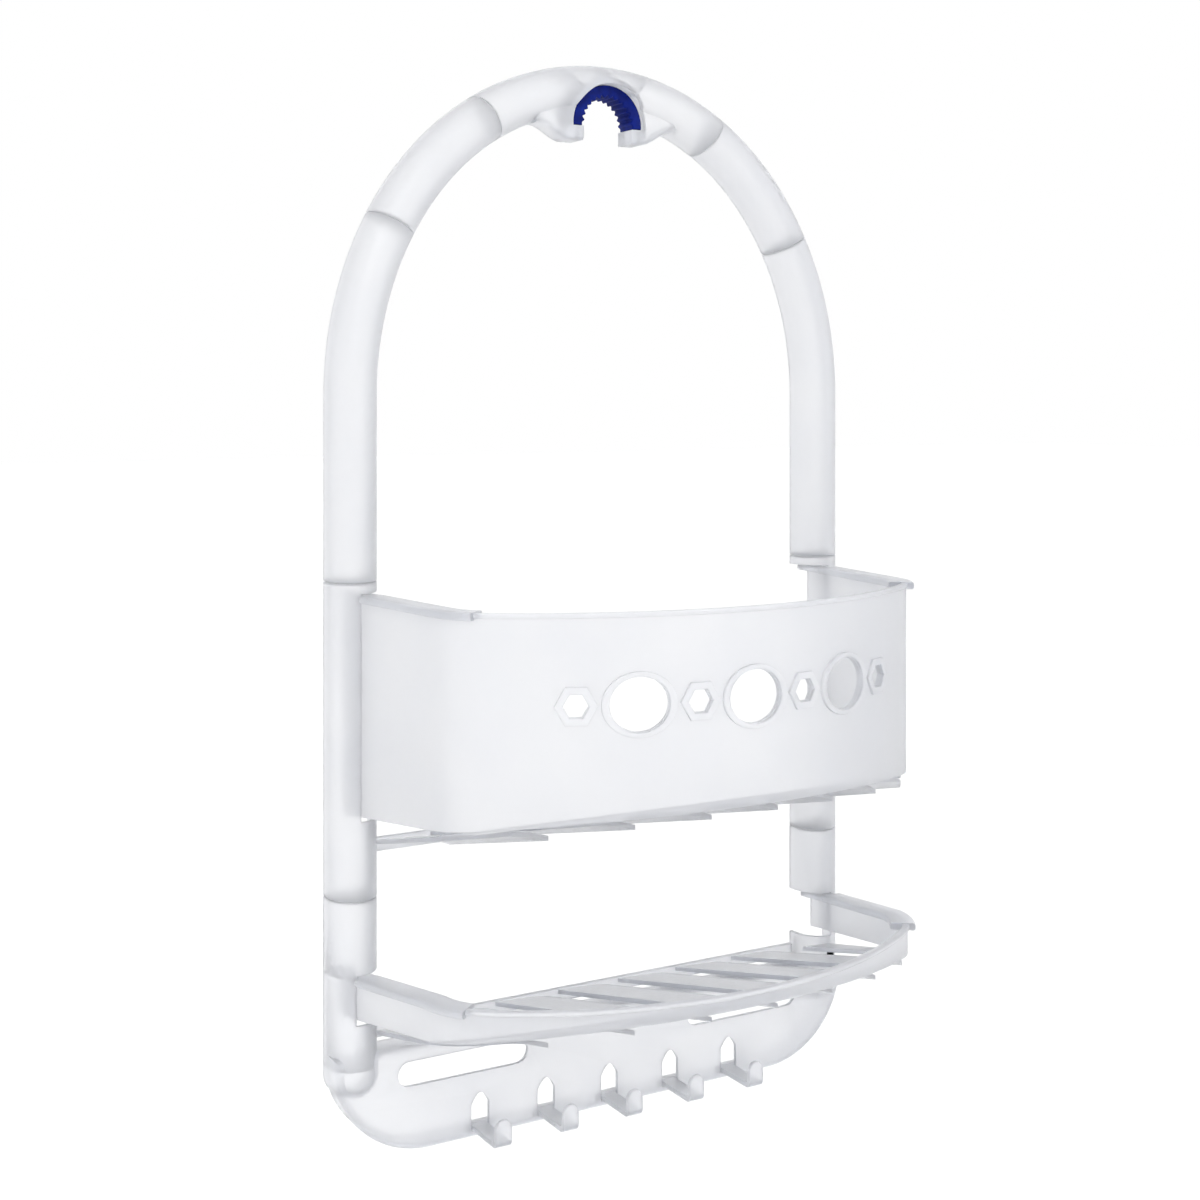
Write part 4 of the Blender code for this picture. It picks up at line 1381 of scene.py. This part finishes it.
@dataclass
class LouvreFloor:
    """Comb of sloping slats on a back beam, tied by a strip behind the front wall."""

    name: str
    node: str
    finishes: Finishes
    path: WallPath
    louvres: Louvres
    rail: Rail = field(default_factory=Rail)
    wall: float = 0.0020
    strip: float = 0.0020
    beam: tuple[float, float] = (0.0030, 0.0060)
    edge: float = 0.0006

    def slats(self) -> bpy.types.Object:
        """Grow the slats with geometry nodes.

        A loose line of unit blocks is spread along X. Each point of a block is then moved:
        the blocks close up to their pitch, the depth of a point runs from the back to the
        bowed front, and its height falls across the slat and curls down at the low edge.

        Returns:
            The slats as one mesh of separate solids.
        """
        path, louvres = self.path, self.louvres
        graph = Graph(self.name + "_slats")
        pitch = graph.value("Pitch", "NodeSocketFloat", louvres.pitch)
        width = graph.value("Slat Width", "NodeSocketFloat", louvres.pitch + louvres.overlap)
        count = graph.value("Slat Count", "NodeSocketInt", louvres.count)
        first = graph.value("First Edge", "NodeSocketFloat", louvres.first_x)
        tangent = math.tan(path.splay)
        inset = self.wall + GAP + SKIN
        limit = path.half - inset - GAP - (self.rail.depth + louvres.room) * tangent
        last = graph.value("Last Edge", "NodeSocketFloat", limit)
        thickness = graph.value("Thickness", "NodeSocketFloat", louvres.thickness)
        drop = graph.value("Drop", "NodeSocketFloat", louvres.drop)
        curl = graph.value("Curl", "NodeSocketFloat", louvres.curl)
        curl_start = graph.value("Curl Start", "NodeSocketFloat", louvres.curl_start)
        rise = graph.value("Rise", "NodeSocketFloat", louvres.rise)
        floor_z = graph.value("Floor Height", "NodeSocketFloat", louvres.floor_z)
        back = graph.value("Back", "NodeSocketFloat", -self.beam[0] / 2)
        rail_back = graph.value("Back Beside Rail", "NodeSocketFloat", -self.rail.depth - SEAM)
        rail_edge = self.rail.spacing / 2 - self.rail.width / 2 - GAP
        rail_x = graph.value("Rail Edge", "NodeSocketFloat", rail_edge)
        radius = graph.value("Front Radius", "NodeSocketFloat", path.front_radius - inset)
        centre = graph.value("Front Centre", "NodeSocketFloat", path.centre_y)
        corner = graph.value("Corner Radius", "NodeSocketFloat", path.corner - inset)
        corner_x = graph.value("Corner Centre X", "NodeSocketFloat", path.corner_x)
        corner_y = graph.value("Corner Centre Y", "NodeSocketFloat", path.corner_y)
        front_end_x = (path.front_radius - inset) * math.sin(path.turn)
        corner_from = graph.value("Corner Start X", "NodeSocketFloat", front_end_x)
        end_from = graph.value("End Start X", "NodeSocketFloat",
                               path.corner_x + (path.corner - inset) * math.cos(path.splay))
        end_x = graph.value("End At Wall", "NodeSocketFloat", path.half - inset / math.cos(path.splay))
        splay = graph.value("Splay Tangent", "NodeSocketFloat", tangent)
        material = graph.value("Material", "NodeSocketMaterial", self.finishes.plastic)

        block = graph.add("GeometryNodeMeshCube")
        graph.feed(block.inputs["Size"], graph.vector(width, 1.0, 1.0))
        graph.feed(block.inputs["Vertices X"], 24)
        graph.feed(block.inputs["Vertices Y"], 4)
        graph.feed(block.inputs["Vertices Z"], 2)
        line = graph.add("GeometryNodeMeshLine")
        graph.feed(line.inputs["Count"], count)
        centre_x = graph.sum("ADD", first, graph.sum("MULTIPLY", width, 0.5))
        graph.feed(line.inputs["Start Location"], graph.vector(centre_x, 0.0, 0.0))
        graph.feed(line.inputs["Offset"], graph.vector(graph.sum("MULTIPLY", pitch, 2.0), 0.0, 0.0))
        spread = graph.add("GeometryNodeInstanceOnPoints")
        graph.feed(spread.inputs["Points"], line.outputs["Mesh"])
        graph.feed(spread.inputs["Instance"], block.outputs["Mesh"])
        real = graph.add("GeometryNodeRealizeInstances")
        graph.feed(real.inputs[0], spread.outputs[0])

        place = graph.add("GeometryNodeInputPosition")
        parts = graph.add("ShaderNodeSeparateXYZ")
        graph.feed(parts.inputs[0], place.outputs[0])
        raw_x, unit_y, unit_z = parts.outputs
        loose = graph.sum("MULTIPLY", pitch, 2.0)
        from_first = graph.sum("SUBTRACT", raw_x, first)
        number = graph.sum("FLOOR", graph.sum("DIVIDE", graph.sum("ADD", from_first, 0.0001), loose))
        share = graph.sum("SUBTRACT", from_first, graph.sum("MULTIPLY", number, loose))
        across = graph.sum("DIVIDE", share, width)
        left = graph.sum("ADD", first, graph.sum("MULTIPLY", number, pitch))
        x = graph.sum("MINIMUM", graph.sum("ADD", left, share), last)
        size_x = graph.sum("ABSOLUTE", x)
        front_span = graph.sum("SUBTRACT", graph.sum("POWER", radius, 2.0), graph.sum("POWER", size_x, 2.0))
        front_y = graph.sum("SUBTRACT", centre, graph.sum("SQRT", front_span))
        past = graph.sum("SUBTRACT", size_x, corner_x)
        corner_span = graph.sum("SUBTRACT", graph.sum("POWER", corner, 2.0), graph.sum("POWER", past, 2.0))
        corner_reach = graph.sum("SQRT", graph.sum("MAXIMUM", corner_span, 0.0))
        corner_front = graph.sum("SUBTRACT", corner_y, corner_reach)
        end_front = graph.sum("DIVIDE", graph.sum("SUBTRACT", size_x, end_x), splay)
        in_corner = graph.sum("GREATER_THAN", size_x, corner_from)
        y_step = graph.sum("MULTIPLY", in_corner, graph.sum("SUBTRACT", corner_front, front_y))
        rounded = graph.sum("ADD", front_y, y_step)
        in_end = graph.sum("GREATER_THAN", size_x, end_from)
        end_step = graph.sum("MULTIPLY", in_end, graph.sum("SUBTRACT", end_front, rounded))
        front = graph.sum("ADD", rounded, end_step)
        right_edge = graph.sum("ABSOLUTE", graph.sum("ADD", left, width))
        far_edge = graph.sum("MAXIMUM", right_edge, graph.sum("ABSOLUTE", left))
        beside = graph.sum("GREATER_THAN", far_edge, rail_x)
        to_rail = graph.sum("MULTIPLY", beside, graph.sum("SUBTRACT", rail_back, back))
        start_y = graph.sum("ADD", back, to_rail)
        run = graph.sum("SUBTRACT", 0.5, unit_y)
        y = graph.sum("ADD", start_y, graph.sum("MULTIPLY", run, graph.sum("SUBTRACT", front, start_y)))
        top = graph.sum("SUBTRACT", floor_z, graph.sum("MULTIPLY", y, rise))
        curling = graph.sum("MAXIMUM", graph.sum("SUBTRACT", across, curl_start), 0.0)
        curled = graph.sum("DIVIDE", curling, graph.sum("SUBTRACT", 1.0, curl_start))
        curl_drop = graph.sum("MULTIPLY", curl, graph.sum("POWER", curled, 2.0))
        sloped = graph.sum("SUBTRACT", top, graph.sum("MULTIPLY", drop, across))
        tilted = graph.sum("SUBTRACT", sloped, curl_drop)
        depth = graph.sum("MULTIPLY", thickness, graph.sum("SUBTRACT", 0.5, unit_z))
        z = graph.sum("SUBTRACT", tilted, depth)
        move = graph.add("GeometryNodeSetPosition")
        graph.feed(move.inputs["Geometry"], real.outputs[0])
        graph.feed(move.inputs["Position"], graph.vector(x, y, z))
        graph.realise(move.outputs[0], material)
        return graph.run(self.name + "_slats")

    def strip_profile(self, stop: float) -> list[Point2]:
        """Section of the strip behind the front wall.

        Args:
            stop: Distance along the wall.

        Returns:
            Closed profile as (outward, height).
        """
        outer = -self.wall - GAP
        height = self.louvres.height(self.path.place(stop)[1])
        low = min(self.louvres.underside(self.path, stop), height - self.louvres.thickness) + SKIN * 2
        high = height + SKIN * 2
        return rounded_bar(outer - self.strip, outer, low, high, self.edge)

    def build(self) -> None:
        """Build and dress the floor."""
        path, louvres = self.path, self.louvres
        thickness, height = self.beam
        end_x = self.rail.spacing / 2 - self.rail.width / 2 - GAP
        top = louvres.floor_z + SEAM
        floor = box(self.name, (-end_x, -thickness, top - height), (end_x, 0.0, top))
        soften(floor, self.edge)
        limit = path.front_length + path.corner_length
        strip = flat_bar("strip_flat", path.samples(-limit, limit), self.strip_profile)
        combine(floor, path.wrap(strip, "front_strip", lambda stop: 0.0), Operation.JOIN)
        combine(floor, soften(self.slats(), self.edge), Operation.JOIN)
        hand_over(smooth(floor), self.finishes.plastic, "frosted", self.node)


# Hook panel -----------------------------------------------------------------------------


@dataclass
class HookPanel:
    """Dished plate below the tray, moulded with the lowest lengths of both rails."""

    finishes: Finishes
    frame: ChannelFrame
    rail: Rail = field(default_factory=Rail)
    depth: float = 0.0140
    wall: float = 0.0020
    top: float = -0.4115
    bottom: float = -0.4580
    corner: float = 0.0450
    edge: float = 0.0030
    slot: tuple[float, float] = (0.0430, 0.1070)
    slot_height: float = 0.0110
    slot_z: float = -0.4235
    hook_pitch: float = 0.0335
    hook_count: int = 5
    window_width: float = 0.0090
    window_height: float = 0.0170
    window_bottom: float = -0.4550
    arch: float = 0.0050
    arch_power: float = 1.8
    rounding: float = 0.0004
    steps: int = 24

    def outline(self, inset: float) -> list[Point2]:
        """Flat top, straight sides and large round lower corners.

        Args:
            inset: Distance inside the outer skin.

        Returns:
            Closed (x, z) outline.
        """
        half = self.rail.spacing / 2 + self.rail.width / 2 - inset
        top = self.top - inset
        radius = self.corner - inset
        centre_z = self.bottom + self.corner
        right = [(half, top)]
        for step in range(self.steps + 1):
            angle = math.pi / 2 * step / self.steps
            z = centre_z - radius * math.sin(angle)
            right.append((half - radius + radius * math.cos(angle), min(z, top - SEAM - step * SKIN / 10)))
        return right + [(-x, z) for x, z in reversed(right)]

    def stadium(self, side: Side) -> list[Point2]:
        """Round-ended outline of a slot."""
        radius = self.slot_height / 2
        near, far = self.slot
        points = []
        for centre, start in ((far - radius, -0.5), (near + radius, 0.5)):
            for x, z in arc(radius, math.pi * start, math.pi * (start + 1), 20):
                points.append((side.value * (centre + x), self.slot_z + z))
        return points

    def window(self, x: float) -> list[Point2]:
        """Outline of the opening above a hook, with a softly pointed arch."""
        half = self.window_width / 2
        spring = self.window_bottom + self.window_height - self.arch
        points = [(x - half, self.window_bottom), (x + half, self.window_bottom)]
        for step in range(-10, 11):
            share = -step / 10
            points.append((x + half * share, spring + self.arch * (1 - abs(share) ** self.arch_power)))
        return points

    def places(self) -> list[float]:
        """Position of each hook along X."""
        middle = (self.hook_count - 1) / 2
        return [(number - middle) * self.hook_pitch for number in range(self.hook_count)]

    def build(self) -> None:
        """Build and dress the panel."""
        part = rounded_plate("hook_panel_dish", self.outline, 0.0, -self.depth, self.edge)
        hollow = rounded_plate("dish_hollow", lambda inset: self.outline(self.wall + inset), SEAM,
                               -self.depth + self.wall, self.edge)
        combine(part, hollow, Operation.CUT)
        past = -self.depth - SEAM
        for side in Side:
            combine(part, plate("panel_slot", self.stadium(side), SEAM * 2, past), Operation.CUT)
            room = self.rail.foot_sweep("post_room", side, self.top + SEAM, self.rail.wall / 2, SEAM * 3)
            combine(part, room, Operation.CUT)
            combine(part, self.frame.tray_post(side), Operation.JOIN)
        for x in self.places():
            combine(part, plate("panel_window", self.window(x), SEAM * 2, past), Operation.CUT)
        piece = smooth(soften(part, self.rounding))
        posts = [f"{side.label}_tray_post" for side in Side]
        hand_over(piece, self.finishes.plastic, "frosted", "hook_panel", *posts)


@dataclass
class HookRow:
    """The row of hooks, each one pushed through its window from behind."""

    finishes: Finishes
    panel: HookPanel
    width: float = 0.0076
    thickness: float = 0.0023
    reach: float = 0.0235
    height: float = 0.0125
    root: float = 0.0018
    rounding: float = 0.0006

    def hook(self) -> bpy.types.Object:
        """Build one hook at the middle of the panel.

        Returns:
            The hook.
        """
        face = -self.panel.depth
        tip = face - self.reach
        root = face + self.panel.wall + GAP
        low = self.panel.window_bottom + GAP
        thick = self.thickness
        top = low + self.height
        outer = thick * 1.4
        half = self.width / 2
        rings = []
        for x, _ in reversed(arc(half, 0.0, math.pi, 16)):
            crown_z = top - half + math.sqrt(max(half ** 2 - x ** 2, 0.0))
            points = [(root + self.root / 2, low + thick)]
            for n, z in arc(outer - thick, -math.pi / 2, -math.pi, 8):
                points.append((tip + outer + n, low + outer + z))
            for n, z in arc(thick / 2, 0.0, math.pi, 8):
                points.append((tip + thick / 2 + n, crown_z - thick / 2 + z))
            for n, z in arc(outer, math.pi, math.pi * 1.5, 8):
                points.append((tip + outer + n, low + outer + z))
            points.append((root + self.root / 2, low))
            rings.append([(x, y, z) for y, z in points])
        part = loft("hook", rings)
        wide = self.panel.window_width / 2 + self.root
        foot = box("hook_root", (-wide, root, low - self.root / 4),
                   (wide, root + self.root, low + thick + GAP))
        combine(part, foot, Operation.JOIN)
        return soften(part, self.rounding, 3)

    def build(self) -> None:
        """Repeat the hook along the panel with geometry nodes, and dress the row."""
        hook = self.hook()
        graph = Graph("hook_row")
        pitch = graph.value("Pitch", "NodeSocketFloat", self.panel.hook_pitch)
        count = graph.value("Hook Count", "NodeSocketInt", self.panel.hook_count)
        shape = graph.value("Hook", "NodeSocketObject", hook)
        material = graph.value("Material", "NodeSocketMaterial", self.finishes.plastic)
        line = graph.add("GeometryNodeMeshLine")
        graph.feed(line.inputs["Count"], count)
        span = graph.sum("MULTIPLY", pitch, graph.sum("SUBTRACT", count, 1.0))
        graph.feed(line.inputs["Start Location"], graph.vector(graph.sum("MULTIPLY", span, -0.5), 0.0, 0.0))
        graph.feed(line.inputs["Offset"], graph.vector(pitch, 0.0, 0.0))
        source = graph.add("GeometryNodeObjectInfo")
        graph.feed(source.inputs["Object"], shape)
        spread = graph.add("GeometryNodeInstanceOnPoints")
        graph.feed(spread.inputs["Points"], line.outputs["Mesh"])
        graph.feed(spread.inputs["Instance"], source.outputs["Geometry"])
        graph.realise(spread.outputs[0], material)
        row = graph.run("row_of_hooks")
        bpy.data.objects.remove(hook, do_unlink=True)
        nodes = [f"hook_{number + 1}" for number in range(self.panel.hook_count)]
        hand_over(smooth(row), self.finishes.plastic, "frosted", *nodes)


# Studio -------------------------------------------------------------------------------------


@dataclass
class Studio:
    """Plain pale floor, soft light and the camera."""

    eye: Point3 = (-0.4165, -0.7214, -0.1240)
    heading: float = math.radians(30.0)
    lens: float = 52.8
    shift: tuple[float, float] = (0.0046, -0.175)
    floor_z: float = -0.640
    floor_half: float = 12.0
    floor_thickness: float = 0.01
    sensor: float = 36.0
    farthest: float = 60.0
    bounces: int = 16
    middle: Point3 = (0.0, 0.0, -0.2)
    key_place: Point3 = (-1.1, -1.3, 0.9)
    key: Point2 = (1.0, 8.0)
    fill_place: Point3 = (1.3, -0.9, 0.4)
    fill: Point2 = (1.2, 5.0)

    def floor(self) -> None:
        """Lay the floor."""
        half = self.floor_half
        low = (-half, -half, self.floor_z - self.floor_thickness)
        floor = box("floor", low, (half, half, self.floor_z))
        floor.data.materials.append(StudioWhite().build())

    def world(self) -> None:
        """Surround everything with an even white sky."""
        world = bpy.data.worlds.new("studio")
        bpy.context.scene.world = world
        world.use_nodes = True
        sky = world.node_tree.nodes["Background"]
        sky.inputs["Color"].default_value = (1.0, 1.0, 1.0, 1.0)
        sky.inputs["Strength"].default_value = 1.0

    def lamp(self, name: str, place: Point3, target: Point3, size: float, power: float) -> None:
        """Hang one soft lamp.

        Args:
            name: Name of the lamp.
            place: Where it hangs.
            target: What it points at.
            size: Side of its square face.
            power: Its power in watts.
        """
        light = bpy.data.lights.new(name, "AREA")
        light.size = size
        light.energy = power
        item = bpy.data.objects.new(name, light)
        item.location = place
        item.rotation_euler = (Vector(target) - Vector(place)).to_track_quat("-Z", "Y").to_euler()
        bpy.context.scene.collection.objects.link(item)

    def camera(self) -> None:
        """Stand the camera in front, to the left of the caddy."""
        data = bpy.data.cameras.new("camera")
        data.lens = self.lens
        data.sensor_width = self.sensor
        data.shift_x, data.shift_y = self.shift
        data.clip_end = self.farthest
        item = bpy.data.objects.new("camera", data)
        item.location = self.eye
        item.rotation_euler = (math.pi / 2, 0.0, -self.heading)
        bpy.context.scene.collection.objects.link(item)
        bpy.context.scene.camera = item

    def build(self) -> None:
        """Set the stage."""
        self.floor()
        self.world()
        self.lamp("key", self.key_place, self.middle, *self.key)
        self.lamp("fill", self.fill_place, self.middle, *self.fill)
        self.camera()
        scene = bpy.context.scene
        scene.view_settings.view_transform = "Standard"
        scene.cycles.max_bounces = self.bounces
        scene.cycles.transmission_bounces = self.bounces
        scene.cycles.transparent_max_bounces = self.bounces


def tray_rim_height(path: WallPath, rim: float, drop: float) -> Callable[[float], float]:
    """Rim of the tray, which falls towards the wall behind the corners.

    Args:
        path: The tray's outline.
        rim: Height of the rim along the front.
        drop: How much lower it is at the back.

    Returns:
        Height of the rim at a depth.
    """
    def height(y: float) -> float:
        """Height of the rim at a depth."""
        return rim - drop * (1 - min(1.0, y / path.corner_y))
    return height


def main() -> None:
    """Build the caddy piece by piece, then set the stage."""
    logging.basicConfig(level=logging.INFO, format="%(name)s %(message)s", stream=sys.stdout)
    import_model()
    finishes = Finishes(FrostedPlastic().build(), SoftRubber().build())
    HangerCrown(finishes).build()
    SaddleGrip(finishes).build()
    frame = ChannelFrame(finishes)
    frame.build()
    basket_path = WallPath(0.1270)
    basket_louvres = Louvres(-0.3220, -0.3095, 0.0092, 0.1436)
    BowedWall("bowed_basket", "basket_wall", finishes, basket_path, basket_louvres,
              lambda y: -0.2120, openings=Openings()).build()
    LouvreFloor("basket_louvres", "basket_floor", finishes, basket_path, basket_louvres).build()
    tray_path = WallPath(0.1290)
    tray_louvres = Louvres(-0.4040, -0.3970, 0.0035, 0.1850)
    BowedWall("bowed_tray", "tray_wall", finishes, tray_path, tray_louvres,
              tray_rim_height(tray_path, -0.3690, 0.0090)).build()
    LouvreFloor("tray_louvres", "tray_floor", finishes, tray_path, tray_louvres).build()
    panel = HookPanel(finishes, frame)
    panel.build()
    HookRow(finishes, panel).build()
    Studio().build()


if __name__ == "__main__":
    main()
